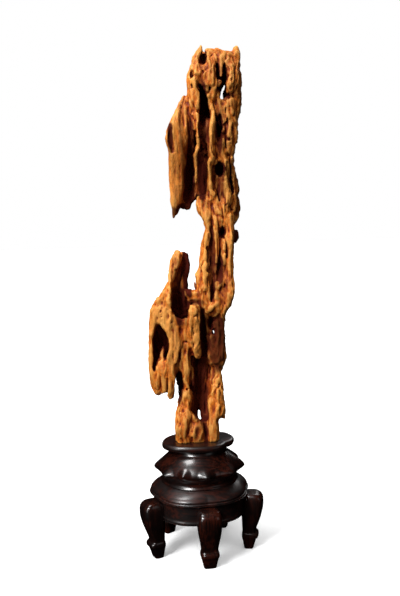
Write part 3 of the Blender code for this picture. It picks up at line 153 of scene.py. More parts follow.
# Leg sections, from knee to floor: height, nearest and farthest reach from the axis, half width
LEG_SECTIONS = (
    (LEG_TOP, 66.0, 79.0, 9.6), (80.2, 65.0, 83.0, 12.0), (77.6, 63.0, 87.2, 14.2),
    (73.6, 61.2, 89.8, 15.4), (68.0, 60.0, 90.4, 16.0), (60.0, 59.6, 90.0, 16.0),
    (48.0, 59.6, 87.0, 14.8), (36.0, 59.8, 82.6, 12.8), (28.6, 60.0, 79.8, 11.7),
    (24.4, 60.0, 79.4, 11.4), (22.6, 59.5, 81.4, 12.1), (21.0, 59.2, 82.6, 12.5),
    (17.6, 59.0, 82.6, 12.6), (15.2, 59.4, 80.8, 11.9), (13.4, 59.8, 79.4, 11.4),
    (6.0, 61.0, 77.0, 9.7), (0.8, 61.9, 75.4, 8.7), (0.0, 62.4, 74.8, 8.2),
)
LEG_SIDES = 72
LEG_STEPS = 5                  # rings between two sections
LEG_SQUARENESS = 3.8           # 2 is round, higher is squarer

# Wood of each member: the axis that its grain follows, and how much its lacquer is worn
SEAT_WOOD = (0, 0.5)
DRUM_WOOD = (0, 0.0)
BASE_WOOD = (0, 0.6)
LEGS_WOOD = (2, 0.0)

# Studio. The camera looks level with the stone's middle, tipped down and rolled a little;
# lengths in metres from the stand's axis, angles in degrees.
EYE_RIGHT, EYE_HEIGHT = 0.0089, 0.4446
CAMERA_TIP = 5.2
CAMERA_ROLL = 1.8
CAMERA_LENS = 41.62            # millimetres, on a sensor of the next width
SENSOR_WIDTH = 36.0
FLOOR_REACH = 30000.0          # millimetres from the middle to an edge
FLOOR_DROP = 0.1               # how far the paper lies under the feet, in millimetres
# Far lights: direction from the front, towards +X; height; spread, in degrees
KEY_LIGHT = (-38.0, 40.0, 20.0)
SKY_LIGHT = (-20.0, 80.0, 70.0)
# Softboxes: place, aim, width and height, in metres; the power of each is a setting
SOFTBOXES = {
    "fill": ((1.2, -1.1, 0.7), (0.0, 0.0, 0.35), 0.7, 0.9),
    "top": ((-0.5, -0.1, 1.5), (0.0, 0.0, 0.1), 0.4, 0.4),
    "low": ((-0.75, -0.8, 0.3), (-0.04, 0.0, 0.28), 0.4, 0.5),
    "back": ((0.5, 1.2, 1.0), (0.0, 0.0, 0.4), 0.6, 0.8),
}

# The stone is built up from tapering strands, as it weathered into flutes and ribs.
# Each ring of a strand is: x, z, depth (front is negative), half width, half depth.
# x and z are drawn on the upright plane through the axis, as seen from EYE; depth runs along
# the line of sight, so that the drawing stays true from there.
EYE = Vector((9.0, -959.0, 445.0))
STRAND_SIDES = 12
STRAND_STEP = 3.0              # distance between rings
STRAND_SQUARENESS = 2.7        # 2 is round, higher is squarer
STRAND_LEAST = 0.4             # smallest half width and half depth
STRAND_TIP = 0.6               # length of an end's point, beside its half width
CREASE = 1.5                   # creases up to twice this width are filled
RIB_SINK = 0.8                 # how far the thinner ribs sink into the masses
SPREAD = 0.5                   # how much wider the hollows are cut than their strands
HOLLOW_GRAIN = 1.5             # voxel size of the hollows
SWAY = 6.0                     # how far the stone wanders to the front and back on its way up
SWAY_LENGTH = 250.0
SWAY_START = 170.0
RIPPLE = 0.5                   # a shorter wandering, beside the sway
RIPPLE_RATE = 2.3
RIPPLE_DRIFT = 60.0            # millimetres across in which the ripple turns by one radian

# Weathering. Each pattern is a smooth noise: its scale across, in depth and in height, and
# the place in the noise where it starts.
BEND_NOISE = ((40, 40, 70), 3.1)
FLUTE_NOISE = ((9.0, 9.0, 48), 11.7)
THREAD_NOISE = ((4.6, 4.6, 17), 23.9)
LUMP_NOISE = ((15, 15, 22), 31.3)
ROUGH_NOISE = ((4.6, 4.6, 6.0), 47.7)
RAGGED_NOISE = ((9, 9, 14), 71.3)
CRACK_NOISE = ((8.0, 8.0, 34), 83.3)
PIT_CELLS = ((6.5, 6.5, 9.0), 5.3)
# Zones have two numbers more: how sharply they end and how much of the stone they take
PITTED_ZONES = ((26, 26, 44), 57.1, 3.0, 0.15)
CRACKED_ZONES = ((20, 20, 40), 91.7, 4.0, 0.6)
BEND_REACH = (6.0, 6.0, 0.0)   # how far the flutes wander
RIDGE_STEEPNESS = 3.0          # of the flutes and threads
CRACK_STEEPNESS = 8.0
PIT_STEEPNESS = 1.9
THREAD_SHARE = 0.6             # depth of the threads beside the flutes
ROUGH_SHARE = 0.4              # height of the roughness beside the lumps
BACK_START = -8.0              # depth from which the back's own deeper flutes come in
BACK_LENGTH = 24.0
BACK_SHARE = 0.5
PATCH_END = 16.0               # depth behind which the stains with their painted light and shade, and the wear, stop
PATCH_FADE = 8.0
PATCH_SOFTNESS = 0.35          # soft border of a patch, beside its size
STAIN_AND_PAINTED_LIGHT_RAGGEDNESS = 0.35
WEAR_RAGGEDNESS = 0.2

# Relief that the colours follow
CREST_PASSES = 14              # smoothings that a crest has to stand out from
CREST_CONTRAST = 0.45
OPENNESS_REACH = 34.0          # walls nearer than this shut the light out
OPENNESS_WAYS = 42             # directions in which the light is looked for
OPENNESS_SLANT = 0.25          # cosine under which a direction is too slanting to count
OPENNESS_LIFT = 0.5            # how far off the skin the look begins
OPENNESS_PASSES = 2            # smoothings of the result

# Stains with painted light and shade, seen from EYE: x, z, half width, half height, strength.
# # Up to 1 the stone is rust-brown, towards 2 black, and below 0 pale gold. Some are real stains;
# # most dark ones are painted shade in hollows, under overhangs and on faces turned from the key
# # light, with old dirt in the deepest, and the pale gold ones are painted light on faces turned to
# # it. Where two overlap, the one higher in the list wins.
STAINS_WITH_PAINTED_LIGHT = {
    # Down to the round hole, mostly painted shade with some old dirt: the dark hollows, shafts and
    # slots, the pillar's face turned from the key light, the shadow under the bridge, and the brown
    # mass turned away to the right
    "pillar face": (-8, 392, 8, 42, 1.8),
    "pillar": (-24, 400, 7, 28, 0.5),
    "bowl": (-19, 352, 13, 30, 1.7),
    "under the bridge": (5, 354, 16, 5, 0.8),
    "brown mass": (31, 292, 17, 50, 0.95),
    "hollow by the slit": (36, 319, 6, 18, 1.3),
    "centre shaft": (12, 305, 6, 50, 1.4),
    "lower hollow": (4.5, 228, 12, 58, 1.35),
    "hollow by the drape": (-24, 232, 5, 24, 1.5),
    "long shaft, upper": (21, 625, 6, 28, 1.6),
    "long shaft, middle": (20, 585, 6, 22, 0.8),
    "long shaft, lower": (17, 525, 8, 42, 1.7),
    "recess by the slab": (0, 517, 8, 44, 1.7),
    "recess by the slab, upper": (3, 580, 5, 28, 0.8),
    "slot": (42, 578, 6, 34, 1.0),
    "slot, lower": (42, 512, 7, 24, 0.7),
    "round hole": (41.6, 533, 8, 9, 1.9),
    # Painted shade: the knob and the right flank turned from the key light, and the shadow under the
    # slab
    "knob": (62, 440, 6, 20, 1.2),
    "under the slab": (-8, 482, 14, 9, 1.3),
    "right flank": (66, 500, 5, 48, 0.8),
    "right edge": (73, 630, 4, 66, 0.6),
    "wall by the gap": (44, 610, 8, 18, 0.35),
    "slab top": (-7, 614, 5, 18, 0.4),
    "slab pit": (-24, 576, 5, 24, 1.1),
    "slab crease": (-10.6, 592, 2.4, 34, 0.7),
    "slab tip": (-23, 474, 6, 12, 0.8),
    # Painted light and shade: the slab's right facet darker and its left facet lighter, as the key
    # light falls on them
    "slab, right facet": (-8.4, 545, 4.6, 64, 0.4),
    "slab, left facet": (-19, 545, 7, 62, -0.3),
    "column groove": (27.4, 412, 5, 62, 0.75),
    "column pocket": (37.4, 398, 5, 26, 1.2),
    "column foot": (38, 378, 15, 40, 0.3),
    "foot cleft": (11.5, 164, 3.6, 22, 1.5),
    "foot edge": (0, 152, 34, 5, 0.8),
    "foot fan": (1, 168, 7, 14, 0.5),
    "foot": (0, 176, 40, 34, 0.2),
    # Painted light: pale gold on the faces turned to the key light
    "left shoulder": (-42, 325, 22, 34, -0.55),
    "left face": (-28, 285, 13, 40, -0.5),
    "centre lobe": (2, 310, 8, 40, -0.5),
    "right band": (60, 606, 13, 62, 0.15),
    "crown": (40, 676, 38, 26, 0.25),
}

# How rough the skin is, beside 1 for the rest: x, z, half width, half height, share
WEAR = {
    "slab": (-18, 545, 18, 100, 0.3),
    "right band": (62, 610, 16, 90, 1.6),
    "lower left": (-38, 285, 30, 75, 0.6),
    "brown mass": (32, 292, 16, 52, 1.5),
    "foot": (0, 172, 45, 40, 0.6),
}

# The stone's masses, more or less from the crown down
MASSES = {
    "left ear": (
        (20.2, 701, -4, 1, 1.5), (18.8, 694, -5, 3.2, 4), (15, 684, -7, 4.2, 8),
        (12.2, 672, -9, 6.2, 11), (9.2, 660, -9, 7, 13), (8.3, 645, -9, 7.2, 14),
        (7.6, 630, -9, 7.6, 14), (8, 612, -9, 6.2, 12), (8.6, 600, -12, 4, 9), (9.2, 589, -16, 1.2, 4),
    ),
    "rib by the shaft": (
        (13, 616, -17, 1.6, 5), (12.6, 595, -19, 1.6, 5), (13, 582, -19, 1.4, 5),
        (13.2, 570, -18, 1.4, 5), (12, 561, -18, 2, 6), (10, 555, -18, 2.4, 6), (9.6, 546, -17, 2, 5),
        (10, 536, -17, 2, 5), (9.2, 527, -17, 1.8, 5), (7.4, 518, -17, 1.4, 4),
        (5.8, 509, -17, 0.8, 2),
    ),
    "crown lobe 1": ((26, 673, -12, 7, 10), (25, 662, -15, 8, 10), (25.5, 651, -17, 7.6, 8)),
    "crown lobe 2": (
        (32.5, 692.5, -6, 4.5, 8), (33.5, 680, -11, 5.5, 11), (34, 664, -15, 6, 11),
        (33.5, 652, -18, 6.5, 8),
    ),
    "crown lobe 3": ((41, 692, -4, 5.5, 9), (43, 685, -8, 8, 11), (52, 684, -6, 7, 11)),
    "crown lobe 4": ((52.5, 690, -2, 2.2, 8), (53.5, 683, -4, 5, 10)),
    "web under the crown": (
        (47.6, 680, -13, 2.2, 6), (47.6, 666, -14, 1.8, 7), (46.4, 654, -15, 2, 6),
        (42, 648, -16, 2.6, 5),
    ),
    "right lobe": (
        (57, 687, -6, 5, 8), (59, 674, -12, 6.2, 9), (59.8, 658, -15, 6.4, 9),
        (58.6, 645, -16, 5.6, 8), (55.8, 635.5, -15, 3, 6),
    ),
    "right ear": (
        (70, 697.5, 2, 0.9, 2), (67.6, 691, 1, 4, 6), (67.4, 682, 0, 4.8, 11), (67.4, 670, -1, 5, 13),
        (68.3, 655, -1, 5.6, 14), (67, 640, -1, 5.4, 14), (66.2, 624, -1, 5.2, 14),
        (64.6, 608, -2, 5.2, 13), (62, 594, -3, 5.2, 13), (61.4, 582, -3, 5, 12),
        (60.4, 571, -3, 4.6, 11), (57.6, 561, -3, 4.4, 10), (56.4, 553, -3, 3.4, 8),
    ),
    "right band": (
        (58, 628, -7, 6, 11), (56, 610, -9, 7.6, 11), (55, 594, -9, 7, 10), (54, 579, -9, 6.4, 10),
        (53.6, 566, -8, 5.6, 9), (54.5, 556, -7, 4, 8),
    ),
    "back wall, left": (
        (20, 690, 10, 6, 6), (18, 668, 12, 12, 9), (18, 640, 14, 15, 9), (18, 610, 14, 16, 9),
        (17, 580, 13, 16, 9), (15, 550, 12, 17, 9), (13, 520, 11, 16, 9), (14, 500, 8, 10, 8),
    ),
    "back wall, right": (
        (48, 688, 10, 17, 7), (47, 665, 13, 19, 9), (47, 640, 14, 20, 9), (46, 610, 14, 20, 9),
        (46, 580, 13, 17, 9), (44, 550, 12, 15, 9), (46, 520, 11, 16, 10), (44, 498, 9, 18, 12),
    ),
    "slab, outer edge": (
        (-5.2, 632.5, -8, 1.8, 3), (-8.5, 623, -9, 3.4, 6), (-13.2, 611, -11, 4.8, 8),
        (-18, 599, -12, 6.6, 9), (-21.8, 587, -13, 7.8, 9), (-24.4, 576, -13, 7.2, 9),
        (-22.8, 562, -13, 6.2, 9), (-22.6, 545, -13, 6.2, 9), (-22.4, 522, -12, 6.2, 9),
        (-22, 502, -11, 5.6, 8), (-22.3, 486, -9, 4.6, 7), (-24.4, 469, -6, 1, 2),
    ),
    "slab, inner edge": (
        (-4.5, 632, -6, 2.6, 4), (-4.2, 617, -8, 3.6, 7), (-6, 601, -9, 5.2, 8),
        (-6.2, 585, -10, 5.4, 9), (-8, 570, -10, 5.8, 9), (-9.2, 552, -9, 5.6, 9),
        (-9.8, 535, -8, 5.4, 9), (-11.6, 518, -7, 4.8, 9), (-14, 500, -5, 4, 8),
        (-16.6, 486, -3, 3.2, 6), (-20.5, 474, -2, 1.6, 3),
    ),
    "slab, middle": (
        (-11.4, 606, -10, 6, 8), (-14, 580, -12, 8, 9.6), (-14.6, 548, -12, 8, 9.8),
        (-15.6, 515, -11, 7, 9.4), (-18.6, 490, -7, 5, 8),
    ),
    "slab, back": (
        (-10, 610, 2, 5, 6), (-14, 580, 5, 9, 9), (-13, 550, 6, 10, 10), (-11, 525, 6, 10, 10),
        (-9, 502, 6, 10, 9), (-8, 489, 5, 8, 8), (-3, 488, 5, 6, 7),
    ),
    "recess, back": (
        (0, 615, 8, 5, 6), (1, 590, 11, 8, 7), (0, 560, 12, 9, 7), (-1, 530, 11, 10, 8),
        (0, 505, 8, 9, 8), (2, 494, 6, 6, 7),
    ),
    "shaft wall": ((20, 604, -1, 7, 7), (20, 587, -3, 7, 8), (20, 572, -3, 7, 8), (20, 558, 1, 7, 7)),
    "recess wall": ((2, 606, -5, 6, 8), (2, 588, -5, 7, 8), (1, 570, -4, 7, 8), (0, 556, 0, 7, 7)),
    "thin rib 1": (
        (25.5, 645, -20, 2.4, 4), (28.6, 634, -20, 1.6, 4), (30, 625, -19, 1.5, 4),
        (32, 616, -19, 2, 4),
    ),
    "thin rib 2": (
        (36.5, 648, -18, 3, 4), (35.6, 634, -18, 1.8, 4), (33.4, 622, -18, 2, 4),
        (34.6, 610, -19, 3, 5),
    ),
    "long rib": (
        (34.6, 612, -19, 2, 5), (33, 597, -20, 2.5, 6), (32, 582, -20, 2.3, 6), (30.8, 570, -20, 2, 6),
        (31.4, 562, -20, 2.8, 6), (31.2, 551, -20, 3.2, 6), (28.6, 543, -20, 2, 6),
        (28, 530, -19, 1.8, 6), (28, 518, -19, 1.8, 6), (28.6, 509, -19, 2.1, 6),
        (31.2, 502, -20, 4, 7), (31, 496.5, -19, 3.8, 6),
    ),
    "long rib, base": (
        (33, 600, -5, 6, 10), (32, 565, -5, 5, 10), (30, 535, -4, 4, 11), (30, 505, -8, 7, 10),
    ),
    "long rib, spur": ((34, 579, -19, 1.6, 4), (34.4, 570, -19, 1, 3)),
    "long rib, knob": ((35, 545, -18, 2.4, 3), (35.4, 540, -18, 1, 2)),
    "rib by the slot": (
        (50.5, 602, -14, 3, 5), (48, 588, -15, 2.6, 5), (46.4, 576, -15, 2.2, 5),
        (44.8, 562, -15, 2.8, 5), (47.2, 552, -15, 2.4, 5), (50.6, 543, -16, 2.4, 6),
        (50.2, 532, -16, 2.2, 6), (49, 521, -16, 2.4, 6), (49.6, 510, -16, 3, 7),
        (51.4, 500, -17, 3.8, 8), (51.5, 487, -17, 4.6, 8),
    ),
    "rib by the slot, foot": ((44, 521, -14, 1.4, 4), (43, 511, -15, 1.8, 5), (43.6, 498, -15, 2.6, 6)),
    "right edge, lower": (
        (57, 552, 0, 2.6, 8), (56.6, 541, 0, 3, 9), (58.4, 528, 0, 3.6, 10), (61.6, 515, 0, 4.2, 10),
        (62.6, 504, 0, 4, 10), (61.6, 494, 1, 4.4, 10), (62.6, 481, 2, 4.8, 9), (62.4, 472, 3, 4, 8),
        (60, 463, 3, 2, 6),
    ),
    "front fan": (
        (30, 500, -8, 14, 12), (35, 488, -9, 20, 12), (38, 474, -9, 19, 12), (39, 462, -8, 18, 11),
        (39, 450, -6, 17, 9),
    ),
    "left column": (
        (13, 497, -10, 4.6, 8), (14.6, 485, -11, 6.6, 9), (18.5, 473, -12, 5.6, 9),
        (22, 462, -12, 4, 8), (23.4, 452, -12, 3.6, 8), (20.6, 441, -12, 4, 8), (18, 430, -13, 4.8, 9),
        (16.8, 418, -13, 4.8, 9), (15.6, 406, -13, 4.6, 9), (15, 394, -13, 4.2, 8),
        (15.2, 382, -13, 4.6, 8), (15, 371, -12, 6, 8),
    ),
    "left column, foot": (
        (12.2, 404, -10, 2, 4), (9.4, 393, -11, 2.6, 5), (8.4, 384, -11, 3, 6), (10, 374, -10, 4.6, 6),
    ),
    "flake": ((8, 386, -12, 2.6, 4), (5.2, 389.4, -13, 1.8, 3), (3.2, 391.4, -13, 0.6, 1)),
    "flake, back": ((6, 370, 2, 3.6, 5), (3.4, 376, 3, 2.2, 4), (1.6, 382, 4, 0.7, 1.5)),
    "backbone": (
        (40, 500, 8, 20, 14), (41, 470, 8, 19, 14), (40, 445, 8, 17, 14), (37, 415, 8, 18, 14),
        (35, 385, 8, 21, 14), (32, 358, 8, 22, 15),
    ),
    "rib by the groove": (
        (34, 470, -15, 3.4, 7), (34, 455, -16, 2.4, 6), (34.2, 440, -16, 2, 6),
        (33.8, 425, -16, 1.8, 6), (33, 405, -16, 1.8, 6), (31.8, 388, -15, 1.7, 5),
        (30.6, 372, -14, 1.8, 5),
    ),
    "right column": (
        (52, 472, -10, 6, 10), (52, 455, -11, 6.4, 9), (51.6, 436, -12, 6, 9),
        (50.4, 415, -12, 5.6, 9), (50, 396, -12, 5.6, 9), (51.5, 380, -12, 6.2, 9),
        (51.6, 365, -11, 5.8, 9), (47, 350, -10, 5.6, 9), (42.5, 338, -9, 4.6, 8),
        (39.8, 328, -6, 2.6, 7),
    ),
    "right column, inner rib": (
        (44.4, 437, -14, 3.4, 6), (44.6, 420, -15, 2.8, 6), (44, 404, -15, 2.6, 6),
        (43, 392, -15, 2.2, 5),
    ),
    "knob": ((61, 450, 6, 0.9, 2), (60.8, 441, 5, 3.1, 6), (59.4, 432, 5, 1.4, 3)),
    "pillar": (
        (-20.5, 423.5, -8, 3.6, 4), (-21.6, 414, -9, 5.4, 7), (-23.2, 402, -10, 5.6, 8),
        (-26, 389, -10, 3.4, 7), (-29, 377, -10, 3, 7),
    ),
    "pillar rim": (
        (-28, 411, -8, 1.2, 5), (-30, 399, -9, 1.7, 6), (-31.8, 387, -9, 1.8, 6),
        (-33.6, 376, -9, 3, 7), (-38, 364, -9, 6, 8), (-45, 352, -9, 9, 9),
    ),
    "pillar back": (
        (-10.5, 420.5, 5, 5.4, 5), (-12, 408, 6, 7.4, 7), (-15, 394, 6, 8, 8), (-18, 380, 7, 9.4, 9),
        (-20, 366, 8, 12, 9), (-18, 350, 10, 16, 8),
    ),
    "bridge": (
        (-12, 367, -4, 5, 9), (-5, 363.6, -6, 5, 9), (3, 362.6, -7, 4.6, 8), (12, 365, -8, 5, 8),
    ),
    "red arch": ((8, 372, -12, 4, 6), (14.5, 370, -13, 5, 6), (21, 369, -12, 4.6, 6)),
    "left shoulder, outer": (
        (-50, 353, -6, 4, 6), (-52, 343, -8, 8, 11), (-54.5, 330, -9, 7.2, 12),
        (-59, 316, -8, 4.4, 12), (-61.2, 300, -7, 2.4, 11), (-61.8, 286, -7, 2.9, 11),
        (-62.2, 270, -7, 3.3, 11), (-61.6, 255, -8, 3.6, 11), (-58.6, 243, -9, 5.4, 11),
        (-57.2, 232, -9, 5.4, 10), (-55.2, 223, -8, 4.2, 7),
    ),
    "left shoulder, front": (
        (-42, 350, -10, 9, 10), (-42, 338, -13, 11, 10), (-38, 325, -15, 11, 10),
        (-30, 312, -16, 9, 10), (-28, 298, -17, 9, 10), (-28, 284, -17, 9, 10),
        (-31.5, 270, -17, 8.6, 10), (-34, 255, -17, 7.6, 10), (-35.4, 240, -16, 6.4, 9),
        (-35.6, 226, -15, 5, 8), (-36, 216.5, -13, 3, 5),
    ),
    "ridge on the left face": (
        (-36, 345, -19, 3, 5), (-33, 330, -22, 3.2, 5), (-35.5, 312, -23, 3, 5),
        (-33, 297, -24, 2.6, 5), (-34.5, 282, -24, 3, 5), (-39, 268, -22, 3, 5),
        (-41.5, 255, -20, 2.6, 5), (-41.6, 243, -18, 2, 5),
    ),
    "bowl lip": ((-29, 327, -16, 6, 8), (-19, 320, -16, 6, 8), (-11, 320, -16, 6, 8)),
    "centre face": (
        (-12, 322, -15, 6, 9), (-12, 308, -16, 6.4, 9), (-11.6, 296, -15, 6, 8), (-12, 284, -13, 5, 8),
        (-13.4, 270, -13, 5.2, 8), (-14, 255, -13, 5.2, 8), (-14, 241, -12, 4.8, 8),
        (-13.6, 229, -12, 4, 8), (-15, 218, -12, 7, 9),
    ),
    "centre lobe": (
        (2.6, 347, -14, 4, 6), (2, 338, -16, 5.6, 8), (1.4, 326, -17, 6.4, 9), (1, 311, -17, 6.4, 9),
        (1, 297, -17, 6.4, 9), (1.6, 284, -16, 6, 8), (1.8, 274.5, -14, 5, 6),
    ),
    "centre lobe, ridge": (
        (-2.6, 346, -17, 2, 4), (-4.6, 336, -20, 2.4, 5), (-5, 321, -22, 2.3, 5),
        (-5.2, 306, -22, 2.3, 5), (-6, 290, -20, 2, 5),
    ),
    "drape, middle": (
        (-49, 272, -11, 5.4, 8), (-46.6, 262, -13, 5.6, 9), (-46, 248, -14, 5.6, 9),
        (-45.6, 236, -14, 5.4, 8), (-45.4, 226.5, -12, 4.6, 7),
    ),
    "drape, left": ((-54.5, 262, -12, 3.6, 7), (-54.5, 248, -14, 3.2, 7), (-54.6, 234, -14, 3, 6)),
    "web in the cave": ((-46, 292, -6, 1.6, 5), (-45.4, 285, -8, 2.2, 5), (-47.5, 276, -10, 3.6, 6)),
    "left mass, back": (
        (-46, 345, 8, 12, 10), (-49, 322, 10, 12, 10), (-50, 297, 12, 13, 8), (-50, 270, 8, 13, 9),
        (-48, 248, 6, 12, 9), (-47, 233, 4, 9, 7),
    ),
    "left mass, inner back": (
        (-22, 352, 12, 16, 8), (-20, 325, 10, 18, 12), (-18, 295, 8, 18, 13), (-18, 268, 8, 15, 12),
        (-16, 245, 8, 12, 12), (-15, 228, 8, 9, 12), (-16, 212, 6, 9, 12),
    ),
    "centre, back": (
        (8, 348, 10, 22, 10), (14, 322, 11, 22, 9), (16, 297, 12, 22, 9), (14, 270, 12, 22, 9),
        (10, 245, 12, 20, 9), (8, 224, 12, 20, 9), (3, 210, 11, 14, 9),
    ),
    "brown mass": (
        (41, 337, 0, 4, 8), (35, 324, -2, 7, 9.6), (32.6, 312, -3, 8, 11), (30.4, 300, -4, 10.6, 12),
        (31.2, 289, -4, 9.6, 11), (30.4, 278, -4, 12, 12), (30.4, 267, -2, 11, 11),
        (31.4, 257.5, 2, 6, 8),
    ),
    "brown mass, edge": (
        (40.6, 330, -4, 1.6, 6), (38.6, 314, -5, 1.8, 6), (37.4, 300, -5, 1.6, 6),
        (38, 288, -4, 2.2, 6),
    ),
    "right body": ((42, 362, -7, 9, 10), (37, 350, -9, 8, 9), (33, 341, -9, 7, 8), (30, 333, -6, 5, 7)),
    "slanting rib 1": (
        (49, 392, -15, 2, 4), (43.5, 384, -16, 2.2, 4), (38, 376, -16, 2.3, 4), (34.6, 368, -15, 2, 4),
    ),
    "slanting rib 2": ((33, 349, -15, 2.6, 4), (25, 343, -16, 2.8, 4), (17.6, 337.6, -14, 2.2, 4)),
    "red patch": ((11, 353, -10, 4, 6), (18, 349, -11, 5, 6), (24, 347, -10, 5, 6)),
    "stub": ((44.6, 341, 4, 2.6, 4), (45.2, 334.5, 4, 1.4, 2.5)),
    "foot, left": (
        (-14.5, 226, -9, 6, 9), (-16.5, 215, -9, 9, 11), (-17.6, 204, -10, 9.2, 12),
        (-20, 192, -12, 10.4, 14), (-20.8, 181, -14, 11.4, 14), (-20.6, 170, -13, 11.6, 15),
        (-19.6, 160, -11, 11, 15), (-19, 144, -9, 10.6, 15),
    ),
    "ledge": ((-11, 193, -14, 4, 7), (-5, 187, -15, 3.4, 7), (1, 181.5, -14, 3, 7)),
    "foot, middle": (
        (-3, 184, -8, 5, 10), (-1, 175, -8, 7.4, 13), (1, 164, -7, 9, 15), (2, 144, -6, 9, 15),
    ),
    "foot, right": (
        (29.6, 264, -1, 3.4, 6), (31, 251, -3, 4.4, 7), (30.6, 241, -5, 6.4, 8), (29, 229, -7, 9, 10),
        (27.6, 215, -8, 10.4, 11), (26.6, 203, -8, 11.4, 11), (25.4, 193, -8, 10.6, 11),
        (22.4, 183, -8, 6.6, 12), (21.8, 172, -9, 8, 12), (21.6, 160, -8, 8, 13),
        (21.4, 144, -7, 7.6, 13),
    ),
    "spur": ((34, 203, -8, 5.4, 7), (36.6, 192, -8, 3.6, 6), (38.4, 183.8, -8, 1.7, 3)),
    "foot, back left": (
        (-14, 216, 8, 10, 11), (-10, 203, 8, 10.2, 11), (-8.6, 192, 8, 9.9, 11), (-8, 184, 8, 11, 12),
        (-11, 170, 6, 14, 14), (-12, 144, 5, 16, 14),
    ),
    "foot, back right": (
        (17, 222, 8, 14, 10), (14, 203, 8, 11.3, 10), (15, 192, 8, 11, 11), (16.6, 184, 8, 11, 12),
        (15, 172, 6, 12, 13), (14, 144, 5, 13, 13),
    ),
    "saddle, back": (
        (-26, 356, 13, 8, 8), (-8, 355, 12, 9, 9), (12, 358, 11, 10, 10), (28, 362, 10, 10, 11),
    ),
    "back rib 1": (
        (60, 685, 10, 4, 6), (58, 650, 18, 4, 7), (60, 610, 20, 4.5, 7), (56, 570, 19, 4, 7),
        (52, 535, 18, 4, 6),
    ),
    "back rib 2": (
        (40, 680, 14, 4, 6), (38, 640, 22, 4.5, 7), (42, 600, 23, 4.5, 7), (40, 560, 21, 5, 7),
        (44, 520, 20, 5, 8), (50, 480, 20, 5, 8), (48, 440, 20, 4.5, 7), (44, 400, 20, 4.5, 7),
        (46, 365, 18, 4, 6),
    ),
    "back rib 3": (
        (24, 670, 14, 3.5, 6), (20, 630, 22, 4.5, 7), (24, 590, 23, 4.5, 7), (20, 550, 21, 4, 7),
        (26, 510, 19, 5, 7), (32, 470, 20, 5, 8), (28, 430, 20, 4.5, 7), (24, 390, 20, 4.5, 7),
        (20, 355, 20, 5, 7), (22, 315, 20, 5, 7), (26, 275, 20, 4.5, 7), (20, 240, 19, 4, 6),
        (22, 205, 17, 4, 6), (18, 165, 15, 4, 6),
    ),
    "back rib 4": (
        (8, 640, 14, 3.5, 6), (4, 600, 18, 4, 7), (2, 560, 19, 4, 7), (4, 520, 17, 4, 6),
        (-2, 499, 12, 3, 5),
    ),
    "back rib 5": (
        (-12, 600, 10, 3.5, 6), (-18, 570, 15, 4, 6), (-14, 535, 15, 4, 6), (-12, 502, 13, 3.5, 5),
    ),
    "back rib 6": (
        (-12, 412, 12, 3, 5), (-18, 380, 15, 4, 6), (-26, 350, 19, 4.5, 7), (-22, 310, 20, 4.5, 7),
        (-26, 270, 18, 4, 6), (-20, 235, 18, 4, 6), (-16, 200, 17, 4, 6), (-18, 165, 16, 5, 7),
    ),
    "back rib 7": (
        (-46, 345, 15, 4, 6), (-52, 310, 19, 4.5, 7), (-48, 275, 18, 4.5, 7), (-54, 245, 13, 4, 6),
    ),
    "back rib 8": (
        (2, 350, 18, 4, 6), (-2, 310, 20, 4.5, 7), (4, 270, 21, 4.5, 7), (0, 235, 20, 4, 6),
        (6, 212, 17, 3, 5),
    ),
    "back rib 9": ((40, 335, 8, 3, 6), (34, 300, 14, 4, 6), (36, 270, 12, 4, 6)),
    "pillar web": (
        (-15, 420, 5, 5, 5), (-18.5, 408, 5, 7.5, 6), (-23, 394, 6, 8, 7), (-27, 380, 7, 8, 8),
        (-32, 368, 8, 9, 8), (-36, 356, 8, 9, 8), (-37, 345, 8, 8, 8),
    ),
    "waist, right": (
        (27, 276, 6, 6, 9), (25.6, 256, 7, 5.4, 10), (26.6, 240, 6, 6, 10), (26, 225, 4, 8, 10),
    ),
    "crown, base": ((30, 690, -3, 9, 11), (34, 674, -5, 13, 12), (34, 656, -7, 13, 12)),
    "crown, right base": ((57, 686, -2, 8, 10), (60, 666, -5, 8.6, 12), (60, 646, -6, 7.6, 12)),
    "crown link": ((18.6, 673, -7, 5, 12), (18, 661, -8, 6, 12), (18, 651, -9, 5, 11)),
    "band fill": (
        (60, 630, -6, 6, 10), (60, 608, -7, 6, 10), (57.6, 588, -6, 6, 10), (56.4, 570, -5, 5, 9),
    ),
    "right edge, fill": (
        (56, 550, -4, 4, 9), (55, 530, -5, 4, 9), (56.6, 512, -6, 4.6, 9), (58, 495, -6, 5, 9),
        (58, 478, -5, 5, 8),
    ),
    "right column, middle": (
        (41, 472, -6, 7, 10), (41, 434, -7, 6, 10), (41, 418, -7, 6, 10), (41, 400, -7, 6, 10),
        (42, 380, -7, 7, 10), (43, 362, -6, 7, 9),
    ),
    "left column, fill": ((19, 492, -8, 8, 10), (22, 474, -8, 7, 10), (23, 460, -6, 6, 9)),
    "waist fill": ((14, 352, -5, 7, 8), (30, 351, -6, 10, 9), (44, 349, -6, 8, 9)),
    "waist fill, left": ((20, 338, -4, 5, 8), (30, 336, -5, 6, 9)),
    "centre lobe, link": ((-6, 323, -13, 4.4, 8), (-6, 302, -13, 4.4, 8), (-6.4, 284, -10, 4, 8)),
    "left shoulder, fill": ((-48, 346, -8, 8, 9), (-47, 333, -9, 8, 10)),
    "foot fill, left": ((-9, 182, -6, 5, 12), (-9, 168, -6, 6, 13), (-9, 144, -5, 7, 13)),
    "foot fill, right": ((13, 180, -3, 4, 10), (13, 166, -4, 5, 11), (13, 144, -3, 6, 11)),
    "middle wall, upper": (
        (40, 641, -6, 4, 8), (41, 628, -8, 6.6, 9), (44, 617, -9, 8, 10), (46, 604, -8, 6, 9),
    ),
    "middle wall, lower": (
        (41, 562, -4, 7, 9), (41, 548, -7, 8, 9), (41, 520, -8, 8, 9), (41, 502, -9, 9, 10),
    ),
